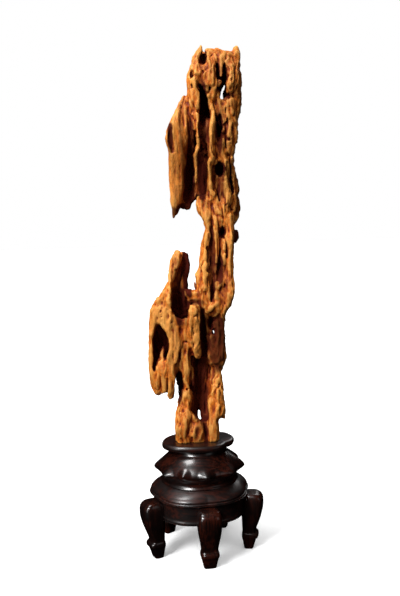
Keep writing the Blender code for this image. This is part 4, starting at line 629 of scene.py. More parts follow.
    "slot, floor": ((41, 573, -9, 5, 8), (41, 560, -10, 5, 9), (41, 549, -9, 5, 8)),
    "column groove, floor": (
        (27, 472, -8, 6, 8), (27, 440, -9, 6, 8), (27, 410, -9, 6, 8), (27, 385, -8, 6, 8),
        (27, 368, -7, 6, 8),
    ),
    "crack fill": (
        (-19, 304, -14, 5, 8), (-20, 288, -14, 6, 8), (-22, 272, -13, 6, 8), (-24, 256, -9, 5, 8),
    ),
    "bridge mass": ((-4, 360, -3, 5, 8), (10, 359, -6, 7, 9), (24, 358, -8, 9, 9), (36, 358, -9, 9, 9)),
    "arch mass": ((12, 348, -7, 6, 8), (22, 346, -9, 7, 8), (34, 345, -9, 8, 8), (36, 336, -7, 7, 8)),
    "foot lump": (
        (3, 183, -13, 2.6, 5), (-1, 174, -16, 4, 7), (-6, 163, -18, 5, 8), (-10, 152, -16, 5, 7),
    ),
    "foot fan": (
        (9, 180, -10, 2.4, 6), (7, 170, -13, 3.4, 7), (2, 160, -16, 4.4, 8), (0, 149, -15, 5, 8),
    ),
    "foot front": ((-26, 182, -19, 4, 6), (-25, 171, -22, 7, 8), (-23, 158, -20, 6, 8)),
    "centre wall": ((13, 342, -1, 7, 8), (13, 320, -1, 7, 8), (13, 300, -1, 7, 8), (13, 276, 0, 7, 8)),
    "saddle fill": ((-6, 357, -6, 4, 8), (3, 356, -7, 4.6, 8), (11, 357, -7, 5, 8)),
}

# Hollows, slots and holes; those with a half depth of 90 go right through
HOLLOWS = {
    "top hole": (
        (24.6, 695, -16, 2, 14), (24.4, 688, -14, 4.4, 18), (23.8, 681.5, -14, 5.8, 20),
        (23.6, 675.5, -14, 3.6, 16),
    ),
    "left ear, upper pit": ((8.4, 669, -23, 1.8, 6), (7.2, 662, -23, 3, 9), (7.2, 656, -23, 1.8, 8)),
    "left ear, lower pit": ((7.8, 650, -24, 1.8, 8), (7.4, 643, -24, 1.8, 8)),
    "long shaft": (
        (22, 640, -22, 3.6, 14), (21.6, 630, -20, 5.2, 22), (21.4, 612, -20, 5.4, 24),
        (20.6, 600, -20, 5.4, 20), (20.2, 588, -20, 5.4, 11), (20.2, 574, -20, 5.2, 11),
        (20.2, 558, -20, 5, 21), (18.6, 530, -20, 5.6, 23), (16, 512, -18, 8, 19),
        (14, 505, -16, 6, 13),
    ),
    "three-cornered pit": ((31.4, 645, -26, 2.2, 7), (31, 639, -26, 2, 7), (30.6, 634.5, -26, 0.8, 5)),
    "crown slot, left": ((43, 677, -20, 1.6, 12), (42.6, 664, -17, 2.4, 16), (42.6, 653, -18, 1.8, 12)),
    "crown slot, right": (
        (51.8, 675, -18, 2.8, 14), (52, 660, -16, 3.6, 20), (51.2, 646, -16, 3.8, 20),
        (49.8, 632, -16, 4, 16),
    ),
    "hole under the crown": (
        (51, 647, 0, 2.6, 90), (50, 641.6, 0, 2.8, 90), (47.2, 637, 0, 2.2, 90),
        (47.2, 632.4, 0, 3.8, 90), (47.4, 628.4, 0, 3.8, 90),
    ),
    "crease under the ear": (
        (66, 641.5, -18, 1, 5), (61, 636, -22, 1.6, 7), (57, 631, -20, 2, 8), (51, 629, -18, 2, 8),
    ),
    "hollow below the crown": (
        (40.6, 642, -23, 2, 7), (39.6, 630, -22, 2.4, 7), (38.4, 620, -21, 1.6, 6),
    ),
    "slot": (
        (43.4, 609, -21, 1.8, 8), (43, 595, -19, 3.6, 12), (42, 580, -18, 4, 12),
        (40.6, 568, -24, 2.6, 5), (40.6, 556, -24, 2, 4), (41.2, 547, -23, 1.8, 5),
        (41.6, 540.4, -18, 5.4, 16), (41.6, 533.4, -18, 6.8, 19), (41.4, 526.6, -18, 5, 15),
        (40.6, 520.6, -24, 1.8, 4), (38.6, 513, -22, 1.6, 6), (37.4, 505, -21, 2, 7),
        (39, 495, -21, 1.8, 7), (40.6, 489.5, -22, 1.1, 5),
    ),
    "recess by the slab": (
        (3.6, 607, -18, 1.8, 6), (3, 590, -18, 3.4, 8), (3, 572, -17, 4, 9), (1.6, 552, -14, 4.8, 15),
        (0, 530, -12, 5.2, 17), (-1, 512, -12, 6.4, 17), (-3, 498, -12, 8, 15), (-1, 488, -12, 7, 12),
    ),
    "pit in the recess": ((7.4, 575, -16, 1.6, 9), (7.2, 567, -16, 1.8, 9)),
    "slab, groove": ((-5, 616, -19, 1.4, 4), (-5.4, 603, -20, 2.2, 6), (-5, 591, -21, 1.2, 4)),
    "slab, pit": (
        (-22.6, 594, -24, 1.4, 4), (-25.4, 582, -23, 3, 7), (-22.8, 570, -24, 3, 6),
        (-22.6, 558, -24, 1.8, 5),
    ),
    "slab, flute": ((-13.6, 578, -22, 0.8, 3), (-13.6, 540, -22, 1, 4), (-14, 506, -20, 0.8, 3)),
    "column groove": (
        (28, 466, -23, 1.4, 5), (28, 450, -22, 2.8, 7), (27.6, 425, -22, 3.4, 8),
        (27, 400, -21, 3.6, 9), (27, 380, -20, 3.6, 10), (26.8, 364, -17, 3.8, 11),
        (24, 352, -16, 2, 6),
    ),
    "column pocket": ((43.2, 455.6, -20, 2.8, 11), (42.6, 447.6, -20, 5, 16), (42, 440, -22, 3.8, 12)),
    "column line": (
        (38.6, 435, -23, 0.8, 5), (38.4, 425, -22, 1.4, 6), (38, 414, -22, 2, 7),
        (37.4, 402, -21, 3.2, 9), (37, 391, -20, 3.8, 10), (35.8, 380, -20, 2.6, 8),
    ),
    "crack by the flake": ((14, 407, -24, 0.9, 4), (12, 397, -22, 1.5, 8), (10.4, 388, -21, 1.2, 5)),
    "pillar face": (
        (-10.8, 425, -14, 5, 16), (-12.4, 405, -14, 5.8, 18), (-17.4, 390, -15, 8.2, 20),
        (-21, 375, -17, 10, 22), (-21.4, 358, -17, 10.4, 24), (-19, 344, -17, 10.2, 24),
        (-15.4, 333.5, -18, 5.4, 20),
    ),
    "bowl side": ((-12, 354, -16, 3, 14), (-9, 350, -16, 4.4, 16)),
    "pillar groove": ((-26, 411, -18, 1.2, 4), (-27.6, 398, -18, 1.6, 5), (-28.6, 386, -18, 1.3, 5)),
    "cave": (
        (-50, 322, -20, 2.4, 9), (-49.4, 313, -18, 6.6, 18), (-49, 301, -16, 10, 20),
        (-52, 289, -16, 6.6, 16), (-55.6, 277, -18, 3.8, 12), (-58.2, 267, -18, 2.2, 8),
        (-58.8, 259, -18, 2.4, 8), (-58.8, 255, -18, 1.2, 4),
    ),
    "cave, lower end": (
        (-43, 300, -16, 5.4, 14), (-40.6, 288, -18, 2.8, 10), (-40.6, 277, -20, 1.5, 6),
    ),
    "face pit": ((-32.2, 326.5, -26, 1.2, 4), (-31.4, 322.8, -26, 1.4, 4)),
    "face groove": (
        (-18.6, 326, -25, 0.8, 4), (-18.6, 302, -26, 1.1, 4), (-17, 293, -25, 1.4, 5),
        (-20.6, 283, -25, 1.5, 5), (-23.2, 272, -24, 1.6, 6), (-24.6, 259, -23, 1.6, 7),
        (-25, 247, -20, 3.2, 14), (-24.4, 233, -18, 4.6, 20), (-23.6, 218, -18, 3.6, 18),
    ),
    "level crack": ((-15, 296.5, -24, 1.4, 5), (-9.4, 295.6, -24, 1.4, 4)),
    "drape cut 1": ((-50.2, 252, -24, 0.9, 4), (-50.2, 236, -22, 1.2, 6), (-50, 222, -18, 1.1, 7)),
    "drape cut 2": ((-40.6, 246, -24, 0.9, 4), (-40.6, 232, -22, 1.2, 6), (-40.8, 221, -18, 1.1, 7)),
    "centre shaft": (
        (11.6, 341, -20, 2, 9), (11.8, 325, -18, 3.4, 14), (12.6, 300, -17, 4.4, 16),
        (13, 280, -16, 4.8, 18), (10, 262, -15, 6, 20), (6, 245, -15, 8, 20), (5, 225, -15, 8.4, 20),
        (3.6, 209, -14, 9, 20), (2.4, 198, -14, 7.4, 18), (2.4, 190, -14, 4, 16),
    ),
    "lower hollow": (
        (19.6, 262, -10, 3.4, 16), (17, 245, -12, 4.6, 18), (14, 228, -12, 3.6, 18),
        (12.6, 205, -12, 3, 18), (10.4, 192, -14, 2.4, 16),
    ),
    "slit in the foot": ((1.4, 199.4, 0, 1.6, 90), (2.6, 192.5, 0, 1.9, 90), (4.3, 184.6, 0, 1.6, 90)),
    "slit in the brown mass": ((26.6, 312.4, 0, 1.8, 90), (26.9, 306, 0, 2, 90)),
    "brown mass, nick 1": ((21.6, 320, -16, 2.4, 7), (22.4, 312, -16, 1.6, 5)),
    "brown mass, nick 2": ((20, 290, -17, 2, 6), (21, 283, -17, 1.6, 5)),
    "brown mass, dent": ((35, 324, -15, 2.4, 5), (37, 314, -15, 1.6, 4)),
    "foot groove": (
        (12.4, 188, -20, 2.2, 9), (10.4, 174, -23, 3, 11), (12, 162, -24, 3.2, 11),
        (12.6, 150, -24, 2.6, 9),
    ),
    "foot crease": (
        (-5, 197, -24, 1.2, 5), (-9.6, 183, -26, 1.8, 7), (-13.6, 168, -28, 1.6, 7),
        (-13, 155, -28, 1, 5),
    ),
    "back flute 1": ((50, 660, 28, 3, 8), (50, 620, 28, 4.5, 10), (48, 580, 27, 4, 9)),
    "back flute 2": ((30, 650, 28, 3, 8), (31, 610, 29, 5, 12), (30, 570, 28, 4, 9)),
    "back flute 3": ((12, 600, 27, 3, 8), (12, 560, 27, 4.5, 10), (12, 530, 25, 3.4, 8)),
    "back flute 4": ((40, 500, 28, 3, 8), (39, 460, 28, 4.8, 12), (37, 420, 28, 3.6, 9)),
    "back flute 5": ((35, 398, 28, 2.6, 8), (34, 380, 28, 4, 10), (33, 360, 28, 3, 8)),
    "back flute 6": ((9, 332, 28, 3.4, 9), (12, 296, 29, 5, 12), (11, 262, 28, 3.6, 9)),
    "back flute 7": ((-12, 322, 28, 3, 8), (-12, 286, 28, 4.6, 12), (-10, 255, 27, 3.4, 8)),
    "back flute 8": ((-38, 322, 26, 3, 8), (-37, 290, 26, 4.6, 11), (-38, 262, 24, 3, 8)),
    "back flute 9": ((0, 195, 26, 2.4, 8), (-2, 175, 27, 3.4, 9)),
}

# Thinner ribs and crests on the masses
RIBS = {
    "ear crest": (
        (17.4, 692, -10, 1.2, 3), (15.8, 682, -15, 1.6, 4), (14.2, 671, -19, 1.9, 5),
        (13, 662, -21.5, 1.9, 5), (12, 654, -22.5, 1.8, 5), (12.6, 646, -22.5, 1.9, 5),
        (14.4, 640, -22, 1.8, 5), (15, 632, -22, 1.7, 5), (14, 622, -21, 1.5, 5),
        (12.6, 612, -19, 1, 3),
    ),
    "lobe crest": (
        (63, 686, -9, 1.2, 4), (62, 672, -17, 1.6, 5), (61.6, 660, -20, 1.7, 5),
        (62.4, 648, -20, 1.4, 5),
    ),
    "crown crest 1": (
        (31, 690, -10, 1.2, 4), (29.8, 678, -16, 1.4, 4), (30.4, 666, -22, 1.5, 4),
        (30.2, 654, -24, 1.5, 4),
    ),
    "crown crest 2": ((38.4, 688, -11, 1.1, 4), (37.8, 674, -19, 1.3, 4), (38, 660, -22, 1.3, 4)),
    "crown lip": (
        (19.6, 651, -22, 1.4, 3), (25, 648.4, -24, 1.6, 3), (31, 648.6, -24, 1.6, 3),
        (37.6, 649.6, -23, 1.4, 3),
    ),
    "ear flute": (
        (5, 632, -20, 1.1, 4), (4.8, 616, -20, 1.3, 4), (5.6, 602, -19, 1.1, 4),
        (7.4, 592, -18, 0.8, 3),
    ),
    "small arch": (
        (24.4, 489, -19, 1, 3), (27.6, 493.6, -21, 1.3, 3), (32.6, 493.4, -21, 1.3, 3),
        (37.4, 488.6, -20, 1, 3),
    ),
    "fan crest 1": ((34, 484, -20, 1.4, 4), (38, 474, -20, 1.6, 4), (41, 464, -19, 1.4, 4)),
    "fan crest 2": ((46, 486, -21, 1.6, 4), (47.6, 472, -20, 1.8, 4), (48.6, 458, -17, 1.5, 4)),
    "fan crest 3": ((20, 489, -18, 1.2, 4), (23.4, 478, -19, 1.6, 4), (26, 468, -19, 1.2, 4)),
    "slot crest": ((45.6, 516, -19, 0.9, 4), (46.2, 506, -20, 1.1, 4), (46.6, 496, -20, 1, 3)),
    "column crest 1": (
        (54.8, 462, -17, 1.2, 4), (55, 446, -19, 1.6, 4), (54.4, 430, -19, 1.6, 4),
        (52.6, 414, -19, 1.4, 4), (51, 400, -19, 1.3, 4), (52.6, 384, -20, 1.6, 4),
        (52.2, 370, -19, 1.6, 4), (48, 355, -17, 1.3, 4), (43.6, 344, -15, 1, 3),
    ),
    "column crest 2": ((44.6, 430, -20, 1.1, 3), (44.4, 416, -21, 1.3, 3), (43.6, 402, -21, 1.1, 3)),
    "column crest 3": ((48.6, 411, -18, 0.9, 3), (50, 396, -18, 1, 3), (51, 383, -18, 0.9, 3)),
    "left crest": (
        (16, 494, -17, 1, 3), (17.6, 482, -19, 1.3, 4), (21.6, 468, -19, 1.4, 4),
        (22.6, 452, -19, 1.4, 4), (19.6, 438, -20, 1.5, 4), (17.6, 422, -20, 1.5, 4),
        (16.6, 408, -20, 1.4, 4), (16.4, 392, -20, 1.2, 4), (17.4, 376, -18, 1, 3),
    ),
    "groove edge": (
        (23.8, 448, -20, 0.9, 3), (23.2, 432, -21, 1.1, 4), (22, 416, -21, 1.1, 4),
        (21.4, 400, -21, 1.1, 4), (21, 384, -20, 0.9, 3),
    ),
    "bowl rim": (
        (-33.4, 372, -15, 1.4, 4), (-34.4, 358, -18, 1.7, 4), (-33.6, 345, -20, 1.8, 4),
        (-30.4, 334, -21, 1.7, 4), (-24, 327.4, -21, 1.6, 4), (-15, 325.4, -20, 1.6, 4),
        (-8.8, 329.4, -20, 1.5, 4),
    ),
    "cave rim": (
        (-53, 327, -18, 1.2, 4), (-43.8, 320, -22, 1.5, 4), (-37.4, 308, -23, 1.6, 4),
        (-34.6, 296, -24, 1.5, 4), (-35.4, 284, -23, 1.4, 4), (-40, 271, -21, 1.3, 4),
    ),
    "face crest 1": ((-24.6, 318, -22, 1.3, 4), (-23.4, 304, -24, 1.4, 4), (-24, 292, -24, 1.2, 4)),
    "face crest 2": (
        (-28.6, 276, -22, 1.2, 4), (-30.6, 260, -22, 1.4, 4), (-31.4, 244, -20, 1.3, 4),
        (-32.4, 228, -17, 1, 3),
    ),
    "face crest 3": (
        (-11, 284, -19, 1.1, 3), (-12.6, 266, -19, 1.4, 4), (-13.4, 250, -18, 1.4, 4),
        (-12.6, 236, -16, 1.1, 3),
    ),
    "outer crest": ((-56.4, 350, -11, 1.2, 4), (-58.4, 336, -15, 1.6, 4), (-60.6, 322, -15, 1.4, 4)),
    "drape crest 1": (
        (-52.4, 268, -17, 1, 3), (-54.6, 252, -20, 1.3, 4), (-55.4, 238, -19, 1.3, 4),
        (-54.6, 226, -16, 1, 3),
    ),
    "drape crest 2": ((-46.6, 262, -19, 1, 3), (-45, 248, -20, 1.3, 4), (-44.6, 234, -18, 1.1, 3)),
    "dark rib": (
        (-3.6, 262, -9, 1.2, 4), (-3.4, 244, -9, 1.5, 4), (-2.6, 228, -8, 1.3, 4),
        (-1, 214, -6, 0.9, 3),
    ),
    "brown crest 1": (
        (27, 322, -9, 1.2, 4), (24.6, 304, -11, 1.6, 4), (23.4, 288, -11, 1.5, 4),
        (24.4, 270, -9, 1.2, 4),
    ),
    "brown crest 2": (
        (34, 306, -10, 1.1, 4), (33, 290, -11, 1.5, 4), (34.6, 274, -10, 1.4, 4), (34, 260, -7, 1, 3),
    ),
    "foot crest 1": (
        (-21, 216, -17, 1.1, 4), (-23, 200, -19, 1.5, 4), (-25.4, 184, -20, 1.6, 4),
        (-25, 168, -20, 1.4, 4), (-23.4, 154, -19, 1.1, 3),
    ),
    "foot crest 2": (
        (34.6, 236, -12, 1, 3), (32, 220, -16, 1.4, 4), (30, 204, -18, 1.4, 4),
        (25.6, 188, -19, 1.3, 4), (24, 172, -18, 1.3, 4), (24.6, 158, -17, 1, 3),
    ),
}

# Small pits, cracks and grooves
PITS = {
    "crown groove 1": ((34.4, 690, -20, 0.8, 4), (34.2, 676, -26, 1, 4), (34.4, 662, -27, 1, 4)),
    "crown groove 2": ((22.4, 668, -25, 0.9, 4), (21, 658, -26, 1.1, 4), (21.6, 651, -27, 0.8, 3)),
    "crown groove 3": ((28, 668, -26, 0.7, 3), (27.6, 658, -27, 0.8, 3)),
    "crown pits": ((41.6, 688.6, -18, 0.9, 3), (45, 686.6, -19, 1.1, 3), (48.4, 687.6, -18, 0.9, 3)),
    "ear pits 1": ((64.8, 684, -14, 1.1, 3), (64.6, 680, -14, 1, 3)),
    "ear pits 2": ((64.9, 676, -15, 1, 3), (64.6, 671, -15, 1.1, 3)),
    "ear pits 3": ((64.8, 667, -16, 1, 3), (65, 663, -16, 0.8, 3)),
    "red pit": ((56.2, 671, -22, 1.2, 3), (56, 666, -22, 1, 3)),
    "band pit 1": ((57, 622, -21, 1.2, 4), (58.4, 616, -20, 1.2, 4)),
    "band pit 2": ((62, 612, -16, 1, 4), (62.6, 604, -16, 1.3, 4)),
    "band pit 3": ((54, 603, -19, 1.2, 4), (54.8, 595, -19, 1.1, 4)),
    "band pit 4": ((60, 590, -15, 1.1, 4), (59.6, 582, -15, 1.2, 4)),
    "band pit 5": ((56.4, 579, -17, 1, 3), (56, 572, -17, 1.1, 3)),
    "band pit 6": ((52.6, 618, -21, 1, 4), (51.6, 609, -20, 1.2, 4)),
    "band groove": (
        (52.2, 596, -20, 1.1, 5), (51.2, 582, -19, 1.4, 6), (50.4, 570, -18, 1.3, 6),
        (51.6, 559, -17, 1, 4),
    ),
    "shaft pit": ((7.8, 583, -24, 0.9, 4), (8, 575, -24, 1, 4)),
    "edge groove": (
        (54.8, 552, -16, 1.2, 6), (55.4, 540, -17, 1.6, 9), (55.6, 526, -17, 2, 11),
        (56.6, 512, -17, 2.2, 11), (58, 500, -16, 1.6, 8),
    ),
    "slot pit": ((45.6, 533, -20, 1, 4), (45.6, 525, -20, 1.1, 4)),
    "fan groove 1": ((30, 489, -22, 1.1, 4), (30.6, 482, -23, 1.2, 4), (33.4, 472, -23, 1, 3)),
    "fan groove 2": ((42, 484, -23, 1, 4), (43.6, 474, -23, 1.2, 4), (45, 464, -22, 1, 3)),
    "fan groove 3": ((50.6, 478, -22, 0.9, 3), (51.4, 466, -20, 1, 4)),
    "fan pit": ((54.8, 481.4, -20, 1.2, 3), (54.8, 477.4, -20, 1, 3)),
    "column groove 1": ((48, 440, -22, 0.8, 3), (48.2, 426, -22, 1, 4), (47.6, 412, -22, 0.9, 4)),
    "column groove 2": ((46.6, 396, -22, 0.9, 4), (46.8, 386, -22, 1, 4)),
    "left groove": ((20.6, 428, -22, 0.8, 4), (20.2, 410, -22, 1, 4), (20.6, 392, -21, 0.9, 4)),
    "left pit": ((18.6, 398, -22, 1.1, 3), (18.8, 394, -22, 0.9, 3)),
    "centre pit 1": ((3.6, 344, -23, 1.3, 4), (3.6, 342, -23, 1, 4)),
    "centre pit 2": ((-1.8, 330.8, -25, 0.8, 4), (2.4, 331.8, -26, 1.1, 4), (6.4, 334.4, -25, 0.9, 4)),
    "centre pit 3": ((0.5, 321, -27, 1, 3), (0.5, 318.6, -27, 0.8, 3)),
    "centre pit 4": ((0.3, 309, -27, 1, 3), (0.3, 306.6, -27, 0.8, 3)),
    "centre groove": ((-2.2, 316, -26, 0.7, 3), (-2, 298, -26, 0.8, 3), (-1.6, 282, -24, 0.6, 3)),
    "face pit 1": ((-45.6, 333.6, -25, 1.4, 3), (-44.4, 330.4, -25, 1, 3)),
    "face pit 2": ((-46.8, 342, -23, 1, 3), (-46, 338.6, -23, 1, 3)),
    "rust pit": ((-13.6, 283.4, -22, 1.2, 4), (-13.4, 279, -22, 0.9, 4)),
    "face groove": ((-28.8, 266, -25, 0.8, 4), (-28.6, 250, -24, 1, 5), (-29.4, 232, -22, 0.8, 4)),
    "lower face pit": ((-13, 229.6, -20, 1.2, 4), (-13, 226.6, -20, 0.9, 4)),
    "lower face groove": ((-17, 262, -21, 0.7, 3), (-17.2, 244, -20, 0.9, 4)),
    "foot pit 1": ((22, 216, -20, 1.3, 4), (22, 213.4, -20, 1, 4)),
    "foot pit 2": ((28.7, 189.4, -20, 1.2, 4), (28.7, 186.8, -20, 0.9, 4)),
    "foot groove 1": ((-18.6, 212, -23, 0.7, 3), (-19.6, 194, -25, 0.8, 3)),
    "foot groove 2": ((28.4, 222, -20, 0.8, 3), (26, 206, -22, 1, 4), (22, 192, -21, 0.9, 3)),
    "slit, back mouth": ((26.7, 314, 20, 3, 19), (26.7, 305, 20, 3, 19)),
    "brown groove": ((30.4, 300, -18, 0.9, 5), (30, 284, -18, 0.8, 4)),
    "foot nick 1": ((-24, 158, -29, 1.6, 4), (-24, 150, -29, 2.8, 6)),
    "foot nick 2": ((-9, 159, -27, 1.8, 5), (-9, 150, -27, 3, 7)),
    "foot nick 3": ((10.4, 161, -26, 2.2, 7), (10, 150, -26, 3.2, 9)),
    "foot nick 4": ((27, 157, -24, 1.4, 4), (27, 150, -24, 2.6, 6)),
}


def linear(hex_colour):
    """An sRGB hex colour as linear red, green and blue."""
    parts = [int(hex_colour[i:i + 2], 16) / 255 for i in (1, 3, 5)]
    return [c / 12.92 if c <= 0.04045 else ((c + 0.055) / 1.055) ** 2.4 for c in parts]


# ---------------------------------------------------------------- meshes

def mesh_object(name, bm):
    """An object from a bmesh in millimetres round the stand's axis."""
    bmesh.ops.scale(bm, vec=(MM, MM, MM), verts=bm.verts)
    bmesh.ops.translate(bm, vec=AXIS * MM, verts=bm.verts)
    bmesh.ops.recalc_face_normals(bm, faces=bm.faces)
    mesh = bpy.data.meshes.new(name)
    bm.to_mesh(mesh)
    bm.free()
    thing = bpy.data.objects.new(name, mesh)
    bpy.context.scene.collection.objects.link(thing)
    return thing


def apply_modifiers(thing):
    """Bakes the object's modifiers into its mesh."""
    view = bpy.context.evaluated_depsgraph_get()
    old = thing.data
    mesh = bpy.data.meshes.new_from_object(thing.evaluated_get(view))
    thing.modifiers.clear()
    thing.data = mesh
    bpy.data.meshes.remove(old)


def cut(thing, cutter):
    """Takes the cutter out of the thing, and removes the cutter."""
    modifier = thing.modifiers.new("cut", "BOOLEAN")
    modifier.operation = "DIFFERENCE"
    modifier.solver = "MANIFOLD"
    modifier.object = cutter
    apply_modifiers(thing)
    bpy.data.objects.remove(cutter)


def dress(thing, material, slot, *nodes):
    """Gives a piece its finish, its place on the frame and the nodes that it stands for."""
    thing.data.materials.clear()
    thing.data.materials.append(material)
    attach(thing, "root")
    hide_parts(*nodes)


def polar(angle, radius, height):
    """A point at an angle from the front, towards +X."""
    turn = math.radians(angle)
    return (radius * math.sin(turn), -radius * math.cos(turn), height)


def loft(bm, rings, tips):
    """Skins rings of equal count, and closes each end on a point."""
    loops = []
    for ring in rings:
        loops.append([bm.verts.new(point) for point in ring])
    for lower, upper in zip(loops, loops[1:]):
        for i, corner in enumerate(lower):
            j = (i + 1) % len(lower)
            bm.faces.new((corner, lower[j], upper[j], upper[i]))
    for loop, tip in zip((loops[0], loops[-1]), tips):
        point = bm.verts.new(tip)
        for i, corner in enumerate(loop):
            bm.faces.new((corner, loop[(i + 1) % len(loop)], point))


def smooth_between(a, b, c, d, t):
    """Catmull-Rom value between b and c."""
    return 0.5 * (
        2 * b + (c - a) * t + (2 * a - 5 * b + 4 * c - d) * t ** 2
        + (3 * b - a - 3 * c + d) * t ** 3
    )


def smooth_rows(rows, steps):
    """Rows of numbers with smooth ones between them; steps is the count for a pair of rows."""
    made = []
    last = len(rows) - 1
    for i in range(last):
        near = (rows[max(i - 1, 0)], rows[i], rows[i + 1], rows[min(i + 2, last)])
        count = steps(rows[i], rows[i + 1])
        for step in range(count):
            made.append([smooth_between(*values, step / count) for values in zip(*near)])
    made.append(list(rows[last]))
    return made


# ---------------------------------------------------------------- stone

def squared(part, squareness):
    """A sine or cosine pushed outwards, which squares an oval's corners."""
    return math.copysign(abs(part) ** (2 / squareness), part)


def strand(bm, points):
    """A tapering strand: oval rings square to its run in the drawing's plane."""
    rings = smooth_rows(points, lambda a, b: max(1, round(math.dist(a[:3], b[:3]) / STRAND_STEP)))
    loops = []
    runs = []
    for i, (x, z, depth, half_width, half_depth) in enumerate(rings):
        before = rings[max(i - 1, 0)]
        after = rings[min(i + 1, len(rings) - 1)]
        run = Vector((after[0] - before[0], after[1] - before[1])).normalized()
        runs.append(run)
        loop = []
        for step in range(STRAND_SIDES):
            turn = 2 * math.pi * step / STRAND_SIDES
            side = max(STRAND_LEAST, half_width) * squared(math.cos(turn), STRAND_SQUARENESS)
            deep = max(STRAND_LEAST, half_depth) * squared(math.sin(turn), STRAND_SQUARENESS)
            loop.append((x + run.y * side, depth + deep, z - run.x * side))
        loops.append(loop)
    tips = []
    for ring, run, way in ((rings[0], runs[0], -1), (rings[-1], runs[-1], 1)):
        bulge = STRAND_TIP * min(ring[3], ring[4]) * way
        tips.append((ring[0] + run.x * bulge, ring[2], ring[1] + run.y * bulge))
    loft(bm, loops, tips)


def melt(thing, grain):
    """Fuses what overlaps into one even skin."""
    modifier = thing.modifiers.new("melt", "REMESH")
    modifier.mode = "VOXEL"
    modifier.voxel_size = grain * MM
    apply_modifiers(thing)


def melted_strands(name, grain, *tables):
    """One skin over all strands; each table has a shift in depth and a spread in width."""
    bm = bmesh.new()
    for table, shift, spread in tables:
        for points in table.values():
            strand(bm, [
                (x, z, depth + shift, half_width + spread, half_depth)
                for x, z, depth, half_width, half_depth in points
            ])
    thing = mesh_object(name, bm)
    melt(thing, grain)
    return thing


def mesh_arrays(mesh):
    """Vertex places and normals in millimetres round the axis, and the edges."""
    count = len(mesh.vertices)
    places = np.empty(count * 3, np.float32)
    normals = np.empty(count * 3, np.float32)
    edges = np.empty(len(mesh.edges) * 2, np.int32)
    mesh.vertices.foreach_get("co", places)
    mesh.vertices.foreach_get("normal", normals)
    mesh.edges.foreach_get("vertices", edges)
    places = places.reshape(-1, 3).astype(float) / MM - np.array(AXIS)
    return places, normals.reshape(-1, 3).astype(float), edges.reshape(-1, 2)


def set_places(mesh, places):
    """Moves the vertices to places in millimetres round the axis."""
    moved = (places + np.array(AXIS)) * MM
    mesh.vertices.foreach_set("co", moved.astype(np.float32).ravel())
    mesh.update()


def neighbour_mean(values, edges):
    """For each vertex, the mean of the values at the vertices it shares an edge with."""
    count = len(values)
    ends = np.concatenate((edges[:, 0], edges[:, 1]))
    others = np.concatenate((edges[:, 1], edges[:, 0]))
    share = np.maximum(np.bincount(ends, minlength=count), 1)
    if values.ndim == 1:
        return np.bincount(ends, weights=values[others], minlength=count) / share
    sums = [np.bincount(ends, weights=values[others, k], minlength=count) for k in range(3)]
    return np.stack(sums, axis=1) / share[:, None]


def softened(values, edges, passes):
    """The values, each moved halfway to its neighbours' mean once for each pass."""
    for _ in range(passes):
        values = 0.5 * values + 0.5 * neighbour_mean(values, edges)
    return values


def swell(thing, reach):
    """Moves the skin out along its normals, in millimetres."""
    places, normals = mesh_arrays(thing.data)[:2]
    set_places(thing.data, places + normals * reach)


def fill_creases(thing, grain):
    """Closes the narrow creases between strands, as a crust of lime would."""
    swell(thing, CREASE)
    melt(thing, grain)
    swell(thing, -CREASE)


def sway(x, z):
    """Depth by which the stone wanders at a height, nothing at its foot."""
    rise = np.clip((z - SWAY_START) / SWAY_LENGTH * 2, 0.0, 1.0)
    turn = 2 * math.pi * (z - SWAY_START) / SWAY_LENGTH
    ripple = RIPPLE * np.sin(RIPPLE_RATE * turn + x / RIPPLE_DRIFT)
    return rise * SWAY * (np.sin(turn) + ripple)


def noise_at(places, scale, start):
    """Smooth noise from -1 to 1 at each place, with a scale in millimetres for each axis."""
    points = places / np.array(scale) + start
    return np.array([noise.noise(point) for point in points.tolist()])


def zones_at(places, scale, start, sharpness, share):
    """Soft-edged zones: 1 inside, 0 outside."""
    return np.clip(noise_at(places, scale, start) * sharpness + share, 0.0, 1.0)


def cell_depth(places, scale, start):
    """How near each place is to the middle of a random cell: 1 at the middle, 0 at its wall."""
    points = places / np.array(scale) + start
    near = np.array([noise.voronoi(point)[0][0] for point in points.tolist()])
    return np.clip(1.0 - near * PIT_STEEPNESS, 0.0, 1.0)


def patches_at(places, table, base, raggedness):
    """The table's oval patches laid over a base value, with ragged edges."""
    warp = raggedness * noise_at(places, *RAGGED_NOISE)
    front = np.clip((PATCH_END - places[:, 1]) / PATCH_FADE, 0.0, 1.0)
    result = np.full(len(places), base)
    for x, z, half_width, half_height, strength in reversed(table.values()):
        off = np.hypot((places[:, 0] - x) / half_width, (places[:, 2] - z) / half_height)
        share = front * np.clip((1.0 - off + warp) / PATCH_SOFTNESS, 0.0, 1.0)
        result = result + (strength - result) * share
    return result


